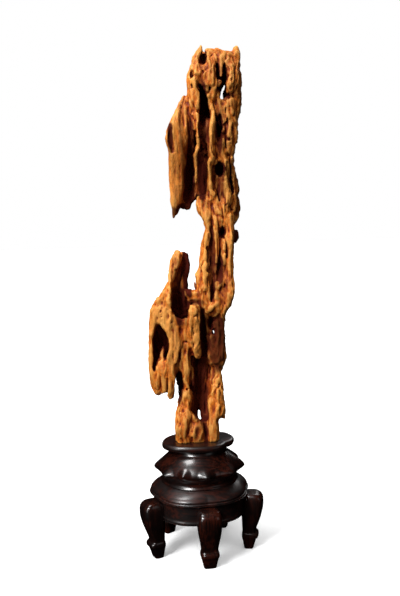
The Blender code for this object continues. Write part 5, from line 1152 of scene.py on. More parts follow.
def weather(mesh, looks):
    """Wears flutes, lumps and pits into the skin, then sets depth along the lines of sight."""
    places, normals = mesh_arrays(mesh)[:2]
    backness = np.clip((places[:, 1] - BACK_START) / BACK_LENGTH, 0.0, 1.0)
    bent = places + np.outer(noise_at(places, *BEND_NOISE), BEND_REACH)
    flute = 1.0 - RIDGE_STEEPNESS * np.abs(noise_at(bent, *FLUTE_NOISE))
    thread = 1.0 - RIDGE_STEEPNESS * np.abs(noise_at(bent, *THREAD_NOISE))
    crack = np.clip(1.0 - CRACK_STEEPNESS * np.abs(noise_at(bent, *CRACK_NOISE)), 0.0, 1.0)
    crack *= zones_at(places, *CRACKED_ZONES)
    lump = noise_at(places, *LUMP_NOISE)
    rough = noise_at(places, *ROUGH_NOISE)
    wear = patches_at(places, WEAR, 1.0, WEAR_RAGGEDNESS)
    pitted = wear * zones_at(places, *PITTED_ZONES)
    pit = cell_depth(places, *PIT_CELLS)
    calm = np.minimum(wear, 1.0)
    depth = looks.flute_depth * (calm + BACK_SHARE * backness) * flute
    depth += looks.flute_depth * THREAD_SHARE * thread * wear
    depth += looks.lump_height * (lump * calm + ROUGH_SHARE * rough * wear)
    depth -= looks.pit_depth * pitted * pit + looks.crack_depth * crack * calm
    places = places + normals * depth[:, None]
    places[:, 1] += sway(places[:, 0], places[:, 2])
    # A vertex behind or before the drawing's plane moves out or in along its line of sight
    share = (places[:, 1] - EYE.y) / -EYE.y
    places[:, 0] = EYE.x + (places[:, 0] - EYE.x) * share
    places[:, 2] = EYE.z + (places[:, 2] - EYE.z) * share
    set_places(mesh, places)


def keep_largest(mesh):
    """Removes crumbs and sealed bubbles, so that one closed skin is left."""
    edges = mesh_arrays(mesh)[2]
    label = np.arange(len(mesh.vertices))
    changed = True
    while changed:
        low = np.minimum(label[edges[:, 0]], label[edges[:, 1]])
        before = label.copy()
        np.minimum.at(label, edges[:, 0], low)
        np.minimum.at(label, edges[:, 1], low)
        label = label[label]
        changed = not np.array_equal(before, label)
    largest = np.bincount(label).argmax()
    bm = bmesh.new()
    bm.from_mesh(mesh)
    bm.verts.ensure_lookup_table()
    loose = [bm.verts[i] for i in np.flatnonzero(label != largest)]
    bmesh.ops.delete(bm, geom=loose, context="VERTS")
    bm.to_mesh(mesh)
    bm.free()


def foot_point(turn, room=0.0):
    """A point on the foot's oval, or on the socket's, which leaves room round the foot."""
    x = FOOT_CENTRE[0] + (FOOT_HALF_WIDTH + room) * math.cos(turn)
    y = FOOT_CENTRE[1] + (FOOT_HALF_DEPTH + room) * math.sin(turn)
    return x, y


def oval(height):
    """The foot's outline at a height."""
    turns = [2 * math.pi * step / FOOT_SIDES for step in range(FOOT_SIDES)]
    return [(*foot_point(turn), height) for turn in turns]


def prism(name, low_ring, high_ring):
    """An upright block between two level rings."""
    bm = bmesh.new()
    ends = [(0.0, 0.0, ring[0][2]) for ring in (low_ring, high_ring)]
    loft(bm, (low_ring, high_ring), ends)
    return mesh_object(name, bm)


def trim_foot(stone):
    """Cuts the stone off flat over the seat, with an oval foot that reaches down into it."""
    bm = bmesh.new()
    middle = SEAT_TOP + GAP - FOOT_TRIM_SIZE / 2
    bmesh.ops.create_cube(bm, size=FOOT_TRIM_SIZE)
    bmesh.ops.translate(bm, vec=(0.0, 0.0, middle), verts=bm.verts)
    trim = mesh_object("foot_trim", bm)
    cut(trim, prism("foot", oval(SEAT_TOP - SOCKET_DEPTH + GAP), oval(SEAT_TOP + FOOT_OVERLAP)))
    cut(stone, trim)


def add_attribute(mesh, name, values):
    """Keeps a number at each vertex, under a name that a material can read."""
    attribute = mesh.attributes.new(name, "FLOAT", "POINT")
    attribute.data.foreach_set("value", values.astype(np.float32))


def openness(mesh, places, normals):
    """How much of the sky over its surface each vertex sees: 0 shut, 1 open."""
    tree = BVHTree.FromPolygons(
        places.tolist(), [tuple(face.vertices) for face in mesh.polygons], epsilon=0.0,
    )
    # Directions spread evenly over a sphere, on a spiral that turns by the golden angle
    ways = []
    for i in range(OPENNESS_WAYS):
        z = 1 - 2 * (i + 0.5) / OPENNESS_WAYS
        turn = i * math.pi * (3 - math.sqrt(5))
        side = math.sqrt(1 - z * z)
        ways.append((side * math.cos(turn), side * math.sin(turn), z))
    facing = normals @ np.array(ways).T
    starts = (places + normals * OPENNESS_LIFT).tolist()
    result = np.ones(len(places))
    for i, start in enumerate(starts):
        seen = 0.0
        whole = 0.0
        for k in np.flatnonzero(facing[i] > OPENNESS_SLANT):
            weight = facing[i, k]
            whole += weight
            distance = tree.ray_cast(start, ways[k], OPENNESS_REACH)[3]
            seen += weight * (1.0 if distance is None else 0.5 * distance / OPENNESS_REACH)
        result[i] = seen / whole
    return result


def mark_relief(mesh):
    """Keeps, at each vertex, the stains with their painted light and shade, how far it stands out
    as a crest, and how open it is to the light, from which the colours paint shade.
    """
    places, normals, edges = mesh_arrays(mesh)
    straight = places.copy()
    straight[:, 1] -= sway(places[:, 0], places[:, 2])
    add_attribute(mesh, "stain", patches_at(straight, STAINS_WITH_PAINTED_LIGHT, 0.0, STAIN_AND_PAINTED_LIGHT_RAGGEDNESS))
    smooth = softened(places, edges, CREST_PASSES)
    crest = softened(((places - smooth) * normals).sum(axis=1), edges, 1)
    add_attribute(mesh, "crest", np.clip(0.5 + crest * CREST_CONTRAST, 0.0, 1.0))
    light = softened(openness(mesh, places, normals), edges, OPENNESS_PASSES)
    add_attribute(mesh, "openness", light)


def make_stone(looks):
    """The pierced stone: strands melted together, hollows cut out, weathered and let into the seat."""
    grain = looks.grain
    stone = melted_strands("weathered_stone", grain, (MASSES, 0.0, 0.0), (RIBS, RIB_SINK, 0.0))
    fill_creases(stone, grain)
    melt(stone, grain)
    hollows = (HOLLOWS, 0.0, SPREAD), (PITS, RIB_SINK, SPREAD)
    cut(stone, melted_strands("hollows", HOLLOW_GRAIN, *hollows))
    melt(stone, grain)
    smooth = stone.modifiers.new("wear", "SMOOTH")
    smooth.factor = 0.5
    smooth.iterations = 1
    apply_modifiers(stone)
    keep_largest(stone.data)
    weather(stone.data, looks)
    trim_foot(stone)
    kept_share = looks.triangles / (2 * len(stone.data.polygons))
    if kept_share < 1.0:
        decimate = stone.modifiers.new("thin", "DECIMATE")
        decimate.ratio = kept_share
        apply_modifiers(stone)
    mark_relief(stone.data)
    stone.data.shade_smooth()
    return stone


# ---------------------------------------------------------------- stand

def lobed_radius(angle, radius, share):
    """Radius of the five-petalled plan; the valleys stand above the legs."""
    petal = abs(math.sin(math.radians((angle - FIRST_LEG) * LEG_COUNT / 2)))
    return radius - LOBE_DEPTH * share * (1.0 - petal)


def lobed_body(name, profile, room=0.0):
    """Loft of the lobed plan along a profile, grown by room for a cutter."""
    rings = []
    for height, radius, share in profile:
        ring = []
        for step in range(PLAN_STEPS):
            angle = FIRST_LEG + 360 * step / PLAN_STEPS
            ring.append(polar(angle, lobed_radius(angle, radius, share) + room, height))
        rings.append(ring)
    bm = bmesh.new()
    loft(bm, rings, ((0.0, 0.0, profile[0][0]), (0.0, 0.0, profile[-1][0])))
    return mesh_object(name, bm)


def shade_carved(thing):
    """Smooth shading that keeps the carver's sharp edges."""
    thing.data.shade_smooth()
    thing.data.set_sharp_from_angle(angle=math.radians(SHARP_ANGLE))


def profile_radius(height):
    """Radius of the turned drum at a height."""
    heights = [row[0] for row in reversed(DRUM_PROFILE)]
    radii = [row[1] for row in reversed(DRUM_PROFILE)]
    return float(np.interp(height, heights[1:-1], radii[1:-1]))


def beak_reach(angle, height):
    """How far the drum's surface stands beyond its turned profile, because of its beaks."""
    most = 0.0
    edge = math.hypot(1.0, BEAK_BLUNT)
    for tip_angle, tip_height, reach, half_width, flare in BEAKS:
        across = abs((angle - tip_angle + 180) % 360 - 180) / half_width
        rise = height - tip_height
        along = rise / (flare if rise >= 0 else -BEAK_DROP)
        off = math.hypot(across, along)
        if off >= 1.0:
            continue
        slope = (math.hypot(off, BEAK_BLUNT) - BEAK_BLUNT) / (edge - BEAK_BLUNT)
        most = max(most, (reach - profile_radius(tip_height)) * (1 - slope) ** BEAK_FLARE)
    return most


def make_drum():
    """A turned body with a ring of carved beaks."""
    rings = []
    rows = smooth_rows(DRUM_PROFILE, lambda a, b: max(1, round(abs(a[0] - b[0]) / DRUM_RING_STEP)))
    for height, radius in rows:
        ring = []
        for step in range(DRUM_STEPS):
            angle = 360 * step / DRUM_STEPS
            ring.append(polar(angle, radius + beak_reach(angle, height), height))
        rings.append(ring)
    bm = bmesh.new()
    loft(bm, rings, ((0.0, 0.0, rows[0][0]), (0.0, 0.0, rows[-1][0])))
    return mesh_object("carved_drum", bm)


def seat_outline_points(count):
    """Evenly indexed points on the smooth closed outline of the seat."""
    total = len(SEAT_OUTLINE)
    points = []
    for step in range(count):
        place = step / count * total
        i = int(place)
        near = [SEAT_OUTLINE[(i + k) % total] for k in (-1, 0, 1, 2)]
        points.append([smooth_between(*values, place - i) for values in zip(*near)])
    return points


def make_seat():
    """The cloud-shaped plate, which falls a little from its socket to its rounded edge."""
    outline = seat_outline_points(PLAN_STEPS)
    socket = []
    for x, y in outline:
        across = (x - FOOT_CENTRE[0]) / FOOT_HALF_WIDTH
        along = (y - FOOT_CENTRE[1]) / FOOT_HALF_DEPTH
        socket.append(foot_point(math.atan2(along, across), SOCKET_ROOM))
    floor = SEAT_TOP - SOCKET_DEPTH
    rim = SEAT_TOP - SOCKET_RIM
    rings = [
        [(x, y, floor) for x, y in socket],
        [(x, y, SEAT_TOP - SOCKET_BEVEL) for x, y in socket],
        [(x * SOCKET_FLARE, y * SOCKET_FLARE, rim) for x, y in socket],
    ]
    for step in range(SEAT_TOP_STEPS):
        share = (step + 1) / SEAT_TOP_STEPS
        height = rim - SEAT_FALL * share ** 2
        rings.append([
            (near_x + (x - near_x) * share, near_y + (y - near_y) * share, height)
            for (near_x, near_y), (x, y) in zip(socket, outline)
        ])
    middle = (SEAT_TOP + SEAT_FOOT) / 2
    half = (SEAT_TOP - SEAT_FOOT) / 2
    for step in range(1, SEAT_EDGE_STEPS):
        turn = math.pi * (0.5 - step / SEAT_EDGE_STEPS)
        reach = SEAT_EDGE * abs(math.cos(turn)) ** SEAT_EDGE_ROUNDNESS
        height = middle + (half - SEAT_SHOULDER * max(0.0, math.sin(turn))) * math.sin(turn)
        ring = []
        for i, (x, y) in enumerate(outline):
            before = outline[i - 1]
            after = outline[(i + 1) % len(outline)]
            out = Vector((after[1] - before[1], before[0] - after[0])).normalized()
            ring.append((x + out.x * reach, y + out.y * reach, height))
        rings.append(ring)
    rings.append([(x, y, SEAT_FOOT) for x, y in outline])
    bm = bmesh.new()
    loft(bm, rings, ((FOOT_CENTRE[0], FOOT_CENTRE[1], floor), (0.0, 0.0, SEAT_FOOT)))
    return mesh_object("cloud_seat", bm)


def leg_ring(angle, height, near, far, half_width):
    """One rounded-square section of a leg."""
    ring = []
    middle = (near + far) / 2
    half_reach = (far - near) / 2
    for step in range(LEG_SIDES):
        turn = 2 * math.pi * (step + 0.5) / LEG_SIDES
        along = squared(math.cos(turn), LEG_SQUARENESS)
        across = squared(math.sin(turn), LEG_SQUARENESS)
        x, y, z = polar(angle, middle + half_reach * along, height)
        side = Vector(polar(angle + 90, half_width * across, 0.0))
        ring.append((x + side.x, y + side.y, z))
    return ring


def make_leg(number):
    """A cabriole leg, cut to fit the apron's face and its underside."""
    angle = FIRST_LEG + LEG_STEP * number
    rows = smooth_rows(LEG_SECTIONS, lambda a, b: LEG_STEPS)
    rings = [leg_ring(angle, *row) for row in rows]
    tips = [polar(angle, (row[1] + row[2]) / 2, row[0]) for row in (rows[0], rows[-1])]
    bm = bmesh.new()
    loft(bm, rings, tips)
    leg = mesh_object("cabriole_leg_%d" % (number + 1), bm)
    wall = APRON_PROFILE[1:-1]
    above = (APRON_TOP + LOBE_DEPTH, wall[0][1], 1.0)
    below = (APRON_FOOT - GAP, wall[-1][1], 1.0)
    cut(leg, lobed_body("apron_room", (above,) + wall[:-1] + (below,), GAP))
    return leg


# ---------------------------------------------------------------- materials

def add_node(tree, kind, settings=(), inputs=()):
    """Adds a node, applies its settings, and gives its sockets values or links."""
    node = tree.nodes.new(kind)
    for name, value in dict(settings).items():
        setattr(node, name, value)
    for name, value in dict(inputs).items():
        socket = node.inputs[name]
        if isinstance(value, bpy.types.NodeSocket):
            tree.links.new(value, socket)
        else:
            socket.default_value = value
    return node


def new_material(name):
    """An empty node material, and its tree."""
    material = bpy.data.materials.new(name)
    material.use_nodes = True
    material.node_tree.nodes.clear()
    return material, material.node_tree


def set_stops(node, *stops):
    """Places the stops of a colour ramp: position, colour."""
    ramp = node.color_ramp
    while len(ramp.elements) < len(stops):
        ramp.elements.new(1.0)
    for element, (position, colour) in zip(ramp.elements, stops):
        element.position = position
        element.color = (*colour, 1.0)


def limestone(looks):
    """Ochre limestone, dissolved into flutes by water, then cleaned and waxed.

    Iron gives it an orange body with rust in the creases and pale gold on the worn crests. The
    pale gold is partly a painted highlight, and painted shade deepens the creases. The wax leaves
    small soft highlights, and the deep hollows hold dark old dirt with painted shade. Patches
    from the stain table add painted shade and painted light.
    """
    material, tree = new_material("ochre_limestone_water_worn_waxed")
    place = add_node(tree, "ShaderNodeTexCoord").outputs["Object"]
    # Iron-stained streaks, 9 mm wide and 70 mm long, follow the flutes
    streak_place = add_node(tree, "ShaderNodeMapping", {}, {
        "Vector": place, "Scale": (1 / (9 * MM), 1 / (9 * MM), 1 / (70 * MM)),
    }).outputs["Vector"]
    streak = add_node(tree, "ShaderNodeTexNoise", {}, {
        "Vector": streak_place, "Scale": 1.0, "Detail": 6.0, "Roughness": 0.62, "Distortion": 0.5,
    }).outputs["Fac"]
    ramp = add_node(tree, "ShaderNodeValToRGB", {}, {"Fac": streak})
    set_stops(
        ramp, (0.30, looks.rust_and_painted_shade_colour), (0.45, looks.body_colour), (0.58, looks.body_colour),
        (0.72, looks.crest_colour),
    )
    # Grains and crusts, 3 mm across
    mottle = add_node(tree, "ShaderNodeTexNoise", {}, {
        "Vector": place, "Scale": 1 / (3.2 * MM), "Detail": 4.0, "Roughness": 0.6,
    }).outputs["Fac"]
    mottle_tone = add_node(tree, "ShaderNodeMapRange", {}, {
        "Value": mottle, "From Min": 0.32, "From Max": 0.68, "To Min": 0.62, "To Max": 1.22,
    }).outputs["Result"]
    mottled = add_node(tree, "ShaderNodeVectorMath", {"operation": "SCALE"}, {
        0: ramp.outputs["Color"], "Scale": mottle_tone,
    }).outputs["Vector"]
    # Threads 1.8 mm wide and 16 mm long, with rust between them
    thread_place = add_node(tree, "ShaderNodeMapping", {}, {
        "Vector": place, "Scale": (1 / (1.8 * MM), 1 / (1.8 * MM), 1 / (16 * MM)),
    }).outputs["Vector"]
    thread = add_node(tree, "ShaderNodeTexNoise", {}, {
        "Vector": thread_place, "Scale": 1.0, "Detail": 3.0, "Roughness": 0.5,
    }).outputs["Fac"]
    # The crests, the stains with their painted light and shade, and the sky that each place sees, from
    # the mesh
    crest, stain, sky = (
        add_node(tree, "ShaderNodeAttribute", {"attribute_name": name}).outputs["Fac"]
        for name in ("crest", "stain", "openness")
    )
    # Where each tone begins, where it is full and how much it then covers
    rust_line, worn_and_painted_highlight, painted_light_gold, crease, deep, shade, black = (
        add_node(tree, "ShaderNodeMapRange", {}, {
            "Value": value, "From Min": begin, "From Max": full, "To Min": 0.0, "To Max": most,
        }).outputs["Result"]
        for value, begin, full, most in (
            # The crests give the worn tone, pale gold partly as a painted highlight on them, and the
            # crease and deep tones, rust and hollow colour deepened as painted shade in the creases
            (thread, 0.47, 0.34, 0.7), (crest, 0.55, 0.9, 0.65), (stain, 0.0, -1.0, 1.0),
            # The sky that each place sees gives the shade tone: painted shade, rust-brown, where little
            # sky is seen
            (crest, 0.46, 0.22, 0.9), (crest, 0.27, 0.04, 0.85), (sky, 0.88, 0.6, 0.8),
            # The stain table gives black stains with painted shade from 1 to 2, and painted light in
            # pale gold below 0
            (stain, 1.0, 2.0, 1.0),
        )
    )
    # Painted shade, with old dirt, darkens the hollows that little light reaches
    dirt_and_painted_shade = add_node(tree, "ShaderNodeMapRange", {"interpolation_type": "SMOOTHSTEP"}, {
        "Value": sky, "From Min": 0.70, "From Max": 0.42, "To Min": 0.0, "To Max": 1.0,
    }).outputs["Result"]
    # The stronger of two: pale from the worn crests with their painted highlight and from the pale
    #     # gold painted light; dark from the hollows' dirt and painted shade and from the black stains
    #     # with painted shade; dull from the hollows' dirt and painted shade and from any stain
    pale, soot_and_painted_shade, soiled_and_painted_shade = (
        add_node(tree, "ShaderNodeMath", {"operation": "MAXIMUM"}, {
            0: one, 1: other,
        }).outputs["Value"]
        for one, other in ((worn_and_painted_highlight, painted_light_gold), (dirt_and_painted_shade, black), (dirt_and_painted_shade, stain))
    )
    # Tones laid over each other, from the body outwards to the dirt and painted shade
    colour = mottled
    for share, tone in (
        (rust_line, looks.rust_and_painted_shade_colour), (pale, looks.crest_colour), (crease, looks.rust_and_painted_shade_colour),
        (deep, looks.hollow_colour), (shade, looks.rust_and_painted_shade_colour), (stain, looks.stain_and_painted_shade_colour),
        (soot_and_painted_shade, looks.hollow_colour),
    ):
        colour = add_node(tree, "ShaderNodeMix", {"data_type": "RGBA"}, {
            0: share, 6: colour, 7: (*tone, 1.0),
        }).outputs[2]
    # The waxed stone has a soft shine that is duller in the hollows' dirt and painted shade and in the
    # stains
    gloss = add_node(tree, "ShaderNodeMapRange", {}, {
        "Value": mottle, "From Min": 0.3, "From Max": 0.7, "To Min": 0.6, "To Max": 0.38,
    }).outputs["Result"]
    dull = add_node(tree, "ShaderNodeMath", {"operation": "MULTIPLY_ADD", "use_clamp": True}, {
        0: soiled_and_painted_shade, 1: 0.5, 2: gloss,
    }).outputs["Value"]
    # Solution texture: the threads, and grains 1.4 mm across
    grain = add_node(tree, "ShaderNodeTexNoise", {}, {
        "Vector": place, "Scale": 1 / (1.4 * MM), "Detail": 3.0, "Roughness": 0.65,
    }).outputs["Fac"]
    low_bump = add_node(tree, "ShaderNodeBump", {}, {
        "Height": thread, "Strength": 0.75, "Distance": 1.3 * MM,
    }).outputs["Normal"]
    bump = add_node(tree, "ShaderNodeBump", {}, {
        "Height": grain, "Strength": 0.6, "Distance": 0.6 * MM, "Normal": low_bump,
    }).outputs["Normal"]
    surface = add_node(tree, "ShaderNodeBsdfPrincipled", {}, {
        "Base Color": colour, "Roughness": dull, "IOR": 1.45, "Normal": bump,
        "Specular IOR Level": 0.2,
    })
    add_node(tree, "ShaderNodeOutputMaterial", {}, {"Surface": surface.outputs["BSDF"]})
    return material


def rosewood(name, looks, grain_axis, wear):
    """Old rosewood, carved, rubbed smooth and lacquered.

    The wood is almost black with a red-brown glow where light falls on it. Its grain is fine, and
    the lacquer gives sharp small highlights over a broader sheen. Wear, from 0 to 1, dulls the
    lacquer where hands and cloths have rubbed it.
    """
    material, tree = new_material(name)
    place = add_node(tree, "ShaderNodeTexCoord").outputs["Object"]
    # Growth lines 2.4 mm apart run 90 mm along the grain
    scale = [1 / (2.4 * MM)] * 3
    scale[grain_axis] = 1 / (90 * MM)
    grain_place = add_node(tree, "ShaderNodeMapping", {}, {
        "Vector": place, "Scale": scale,
    }).outputs["Vector"]
    grain = add_node(tree, "ShaderNodeTexNoise", {}, {
        "Vector": grain_place, "Scale": 1.0, "Detail": 5.0, "Roughness": 0.6, "Distortion": 0.35,
    }).outputs["Fac"]
    cloud = add_node(tree, "ShaderNodeTexNoise", {}, {
        "Vector": place, "Scale": 1 / (24 * MM), "Detail": 2.0, "Roughness": 0.5,
    }).outputs["Fac"]
    mixed = add_node(tree, "ShaderNodeMath", {"operation": "MULTIPLY_ADD"}, {
        0: cloud, 1: 0.7, 2: grain,
    }).outputs["Value"]
    ramp = add_node(tree, "ShaderNodeValToRGB", {}, {"Fac": mixed})
    set_stops(
        ramp, (0.6, looks.wood_dark_colour), (0.85, looks.wood_colour),
        (1.0, looks.wood_glow_colour),
    )
    gloss = add_node(tree, "ShaderNodeMapRange", {}, {
        "Value": cloud, "From Min": 0.3, "From Max": 0.7,
        "To Min": 0.34 + 0.2 * wear, "To Max": 0.24 + 0.2 * wear,
    }).outputs["Result"]
    bump = add_node(tree, "ShaderNodeBump", {}, {
        "Height": grain, "Strength": 0.12, "Distance": 0.3 * MM,
    }).outputs["Normal"]
    surface = add_node(tree, "ShaderNodeBsdfPrincipled", {}, {
        "Base Color": ramp.outputs["Color"], "Roughness": gloss, "IOR": 1.5, "Normal": bump,
        "Coat Weight": 0.4, "Coat Roughness": 0.12 + 0.12 * wear, "Coat IOR": 1.5,
    })
    add_node(tree, "ShaderNodeOutputMaterial", {}, {"Surface": surface.outputs["BSDF"]})
    return material


def seamless_paper(looks):
    """Matt white studio paper on a lit table, which keeps the shadows pale."""
    material, tree = new_material("matt_white_paper_lit_from_below")
    place = add_node(tree, "ShaderNodeTexCoord").outputs["Object"]
    fibre = add_node(tree, "ShaderNodeTexNoise", {}, {
        "Vector": place, "Scale": 1 / (4 * MM), "Detail": 2.0,
    }).outputs["Fac"]
    bump = add_node(tree, "ShaderNodeBump", {}, {
        "Height": fibre, "Strength": 0.05, "Distance": 0.2 * MM,
    }).outputs["Normal"]
    surface = add_node(tree, "ShaderNodeBsdfPrincipled", {}, {
        "Base Color": (*looks.floor_colour, 1.0), "Roughness": 0.9, "Normal": bump,
        "Emission Color": (1.0, 1.0, 1.0, 1.0), "Emission Strength": looks.floor_glow,
    })
    add_node(tree, "ShaderNodeOutputMaterial", {}, {"Surface": surface.outputs["BSDF"]})
    return material


# ---------------------------------------------------------------- settings

def colour_property(name, description, hex_colour):
    """A colour setting with an sRGB hex default."""
    return FloatVectorProperty(
        name=name, description=description, default=linear(hex_colour), subtype="COLOR",
        min=0.0, max=1.0,
    )


class StoneSettings(bpy.types.PropertyGroup):
    """Fineness, wear and colours of the stone"""
    grain: FloatProperty(
        name="Grain", description="Voxel size of the stone's skin, in millimetres",
        default=1.25, min=1.0, max=4.0,
    )
    triangles: IntProperty(
        name="Triangles", description="Most triangles in the stone's mesh",
        default=190000, min=10000, max=199000,
    )
    flute_depth: FloatProperty(
        name="Flute depth", description="Depth of the worn flutes, in millimetres",
        default=1.4, min=0.0, max=3.0,
    )
    crack_depth: FloatProperty(
        name="Crack depth", description="Depth of the narrow cracks, in millimetres",
        default=1.8, min=0.0, max=4.0,
    )
    lump_height: FloatProperty(
        name="Lump height", description="Height of the worn lumps, in millimetres",
        default=1.2, min=0.0, max=3.0,
    )
    pit_depth: FloatProperty(
        name="Pit depth", description="Depth of the solution pits, in millimetres",
        default=1.8, min=0.0, max=4.0,
    )
    # Crests: also the painted highlight on the crests and the painted light of the pale gold patches
    crest_colour: colour_property("Crests", "Pale gold of the worn crests", "#E2A250")
    body_colour: colour_property("Body", "Orange ochre of the open faces", "#CC6E20")
    # Rust: also the painted shade where little sky is seen, and in the creases
    rust_and_painted_shade_colour: colour_property("Rust", "Rust brown of the creases", "#782604")
    # Stain: real stains, and the painted shade on faces turned from the key light and under overhangs
    stain_and_painted_shade_colour: colour_property("Stain", "Dark brown of the stained masses", "#4A1804")
    # Hollows: old dirt with painted shade in the shut hollows and the deepest creases
    hollow_colour: colour_property("Hollows", "Old dirt in the deep hollows", "#460E04")


class StandSettings(bpy.types.PropertyGroup):
    """Colours of the stand's wood"""
    wood_dark_colour: colour_property("Dark wood", "Darkest streaks of the wood", "#030101")
    wood_colour: colour_property("Wood", "Main tone of the wood", "#130604")
    wood_glow_colour: colour_property("Wood glow", "Red streaks that glow in the light", "#2C0F08")


class StudioSettings(bpy.types.PropertyGroup):
    """Camera, lights and floor"""
    eye_distance: FloatProperty(
        name="Camera distance", description="From the stand's axis to the camera",
        default=0.959, min=0.3, max=5.0, unit="LENGTH",
    )
    key_light: FloatProperty(
        name="Key light", description="Strength of the large light at the front left",
        default=3.35, min=0.0, max=50.0,
    )
    sky_light: FloatProperty(
        name="Skylight", description="Strength of the wide light from above",
        default=1.9, min=0.0, max=20.0,
    )
    fill_power: FloatProperty(
        name="Fill light", description="Power of the soft fill at the front right, in watts",
        default=0.9, min=0.0, max=500.0, unit="POWER",
    )
    low_power: FloatProperty(
        name="Low light", description="Power of the soft light low on the left, in watts",
        default=3.2, min=0.0, max=500.0, unit="POWER",
    )
    top_power: FloatProperty(
        name="Top light", description="Power of the softbox over the object, in watts",
        default=9.0, min=0.0, max=500.0, unit="POWER",
    )
    back_power: FloatProperty(
        name="Back light", description="Power of the softbox behind the object, in watts",
        default=3.0, min=0.0, max=500.0, unit="POWER",
    )
    room_light: FloatProperty(
        name="Room light", description="Brightness of the white room round the object",
        default=0.06, min=0.0, max=5.0,
    )
    floor_glow: FloatProperty(
        name="Floor glow", description="Light that the paper floor gives by itself",
        default=0.32, min=0.0, max=2.0,
    )
    floor_colour: colour_property("Floor", "White of the paper floor", "#F2F2F2")


# ---------------------------------------------------------------- operators

class SCHOLAR_OT_stone(bpy.types.Operator):
    """Build the weathered stone and let its foot into the seat"""
    bl_idname = "scholar.stone"
    bl_label = "Stone"

    def execute(self, context):
        looks = context.scene.scholar_stone
        dress(make_stone(looks), limestone(looks), "limestone", "stone")
        return {"FINISHED"}


class SCHOLAR_OT_seat(bpy.types.Operator):
    """Build the cloud-shaped seat plate with its socket"""
    bl_idname = "scholar.seat"
    bl_label = "Seat plate"

    def execute(self, context):
        wood = rosewood("rosewood_seat_lacquered", context.scene.scholar_stand, *SEAT_WOOD)
        seat = make_seat()
        shade_carved(seat)
        dress(seat, wood, "hardwood", "seat_plate")
        return {"FINISHED"}


class SCHOLAR_OT_drum(bpy.types.Operator):
    """Build the drum with its ring of carved beaks"""
    bl_idname = "scholar.drum"
    bl_label = "Drum"

    def execute(self, context):
        wood = rosewood("rosewood_drum_lacquered", context.scene.scholar_stand, *DRUM_WOOD)
        drum = make_drum()
        shade_carved(drum)
        dress(drum, wood, "hardwood", "drum")
        return {"FINISHED"}


class SCHOLAR_OT_base(bpy.types.Operator):
    """Build the beaded shoulder moulding and the apron"""
    bl_idname = "scholar.base"
    bl_label = "Shoulder and apron"

    def execute(self, context):
        wood = rosewood("rosewood_base_lacquered", context.scene.scholar_stand, *BASE_WOOD)
        for name, node, profile in (
            ("beaded_shoulder", "shoulder", SHOULDER_PROFILE), ("lobed_apron", "apron", APRON_PROFILE),
        ):
            body = lobed_body(name, smooth_rows(profile, lambda a, b: PROFILE_STEPS))
            shade_carved(body)
            dress(body, wood, "hardwood", node)
        return {"FINISHED"}


class SCHOLAR_OT_legs(bpy.types.Operator):
    """Build the five cabriole legs round the apron"""
    bl_idname = "scholar.legs"
    bl_label = "Legs"

    def execute(self, context):
        wood = rosewood("rosewood_legs_lacquered", context.scene.scholar_stand, *LEGS_WOOD)
        for number in range(LEG_COUNT):
            leg = make_leg(number)
            shade_carved(leg)
            dress(leg, wood, "hardwood", "leg_%d" % (number + 1))
        return {"FINISHED"}


def new_lamp(name, kind, strength):
    """A light in the scene, and its settings."""
    light = bpy.data.lights.new(name, kind)
    light.energy = strength
    lamp = bpy.data.objects.new(name, light)
    bpy.context.scene.collection.objects.link(lamp)
    return lamp, light


def add_softbox(name, place, aim, width, height, power):
    """A rectangular area light at a place in metres, turned to its aim."""
    lamp, light = new_lamp(name, "AREA", power)
    light.shape = "RECTANGLE"
    light.size = width
    light.size_y = height
    lamp.location = place
    lamp.rotation_euler = (Vector(aim) - Vector(place)).to_track_quat("-Z", "Y").to_euler()


def add_far_light(name, azimuth, height, spread, strength):
    """A large soft light far off, even over the whole floor. Angles are in degrees."""
    lamp, light = new_lamp(name, "SUN", strength)
    light.angle = math.radians(spread)
    level = math.cos(math.radians(height))
    way = Vector(polar(azimuth, level, math.sin(math.radians(height))))
    lamp.rotation_euler = way.to_track_quat("Z", "Y").to_euler()
    return lamp


def add_camera(distance):
    """The camera, level with the stone's middle and tipped and rolled a little."""
    camera = bpy.data.cameras.new("camera")
    camera.sensor_width = SENSOR_WIDTH
    camera.lens = CAMERA_LENS
    tip = math.radians(CAMERA_TIP)
    roll = math.radians(CAMERA_ROLL)
    ahead = Vector((0.0, math.cos(tip), -math.sin(tip)))
    up = Vector((0.0, math.sin(tip), math.cos(tip)))
    turn = Matrix((Vector((1.0, 0.0, 0.0)), up, -ahead)).transposed()
    holder = bpy.data.objects.new("camera", camera)
    bpy.context.scene.collection.objects.link(holder)
    place = AXIS * MM + Vector((EYE_RIGHT, -distance, EYE_HEIGHT))
    turn = turn @ Matrix.Rotation(-roll, 3, "Z")
    holder.matrix_world = Matrix.Translation(place) @ turn.to_4x4()
    bpy.context.scene.camera = holder


def white_room(brightness):
    """A white world: plain white behind the object, and a weaker light from all round.

    The lacquer and the wax mirror the softboxes, and not the room.
    """
    world = bpy.data.worlds.new("white_room")
    bpy.context.scene.world = world
    world.use_nodes = True
    world.cycles_visibility.glossy = False
    tree = world.node_tree
    tree.nodes.clear()
    behind = add_node(tree, "ShaderNodeBackground", {}, {"Color": (1, 1, 1, 1), "Strength": 1.0})
    around = add_node(tree, "ShaderNodeBackground", {}, {
        "Color": (1, 1, 1, 1), "Strength": brightness,
    })
    seen = add_node(tree, "ShaderNodeLightPath").outputs["Is Camera Ray"]
    mix = add_node(tree, "ShaderNodeMixShader", {}, {
        0: seen, 1: around.outputs[0], 2: behind.outputs[0],
    })
    add_node(tree, "ShaderNodeOutputWorld", {}, {"Surface": mix.outputs[0]})


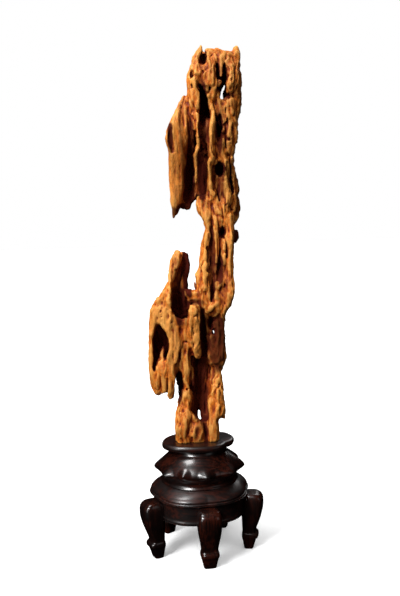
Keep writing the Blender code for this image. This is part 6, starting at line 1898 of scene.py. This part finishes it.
class SCHOLAR_OT_studio(bpy.types.Operator):
    """Set the pale floor, the soft lights and the camera"""
    bl_idname = "scholar.studio"
    bl_label = "Studio"

    def execute(self, context):
        looks = context.scene.scholar_studio
        bm = bmesh.new()
        bmesh.ops.create_grid(bm, x_segments=8, y_segments=8, size=FLOOR_REACH)
        bmesh.ops.translate(bm, vec=(0.0, 0.0, -FLOOR_DROP), verts=bm.verts)
        floor = mesh_object("paper_floor", bm)
        floor.data.materials.append(seamless_paper(looks))
        floor.visible_glossy = False
        floor.visible_diffuse = False
        add_camera(looks.eye_distance)
        add_far_light("key", *KEY_LIGHT, looks.key_light)
        sky = add_far_light("sky", *SKY_LIGHT, looks.sky_light)
        sky.visible_glossy = False
        for name, box in SOFTBOXES.items():
            add_softbox(name, *box, getattr(looks, name + "_power"))
        white_room(looks.room_light)
        context.scene.view_settings.view_transform = "Standard"
        return {"FINISHED"}


class SCHOLAR_PT_panel(bpy.types.Panel):
    """Lists the pieces of the scholar's rock and their settings"""
    bl_idname = "SCHOLAR_PT_panel"
    bl_label = "Scholar's rock"
    bl_space_type = "VIEW_3D"
    bl_region_type = "UI"
    bl_category = "Scholar's rock"

    def draw(self, context):
        layout = self.layout
        for settings in ("scholar_stone", "scholar_stand", "scholar_studio"):
            group = getattr(context.scene, settings)
            box = layout.box()
            for name in group.__annotations__:
                box.prop(group, name)
        for operator in OPERATORS:
            layout.operator(operator.bl_idname)


SETTINGS = {
    "scholar_stone": StoneSettings,
    "scholar_stand": StandSettings,
    "scholar_studio": StudioSettings,
}
OPERATORS = (
    SCHOLAR_OT_studio, SCHOLAR_OT_seat, SCHOLAR_OT_drum, SCHOLAR_OT_base, SCHOLAR_OT_legs,
    SCHOLAR_OT_stone,
)
CLASSES = tuple(SETTINGS.values()) + OPERATORS + (SCHOLAR_PT_panel,)


def register():
    """Adds the settings, the operators and the panel to Blender."""
    for item in CLASSES:
        bpy.utils.register_class(item)
    for name, group in SETTINGS.items():
        setattr(bpy.types.Scene, name, PointerProperty(type=group))


def unregister():
    """Takes them out again."""
    for name in SETTINGS:
        delattr(bpy.types.Scene, name)
    for item in reversed(CLASSES):
        bpy.utils.unregister_class(item)


def main():
    """Builds the whole scene."""
    register()
    bpy.ops.scholar.studio()
    bpy.ops.scholar.seat()
    bpy.ops.scholar.drum()
    bpy.ops.scholar.base()
    bpy.ops.scholar.legs()
    bpy.ops.scholar.stone()


if __name__ == "__main__":
    main()
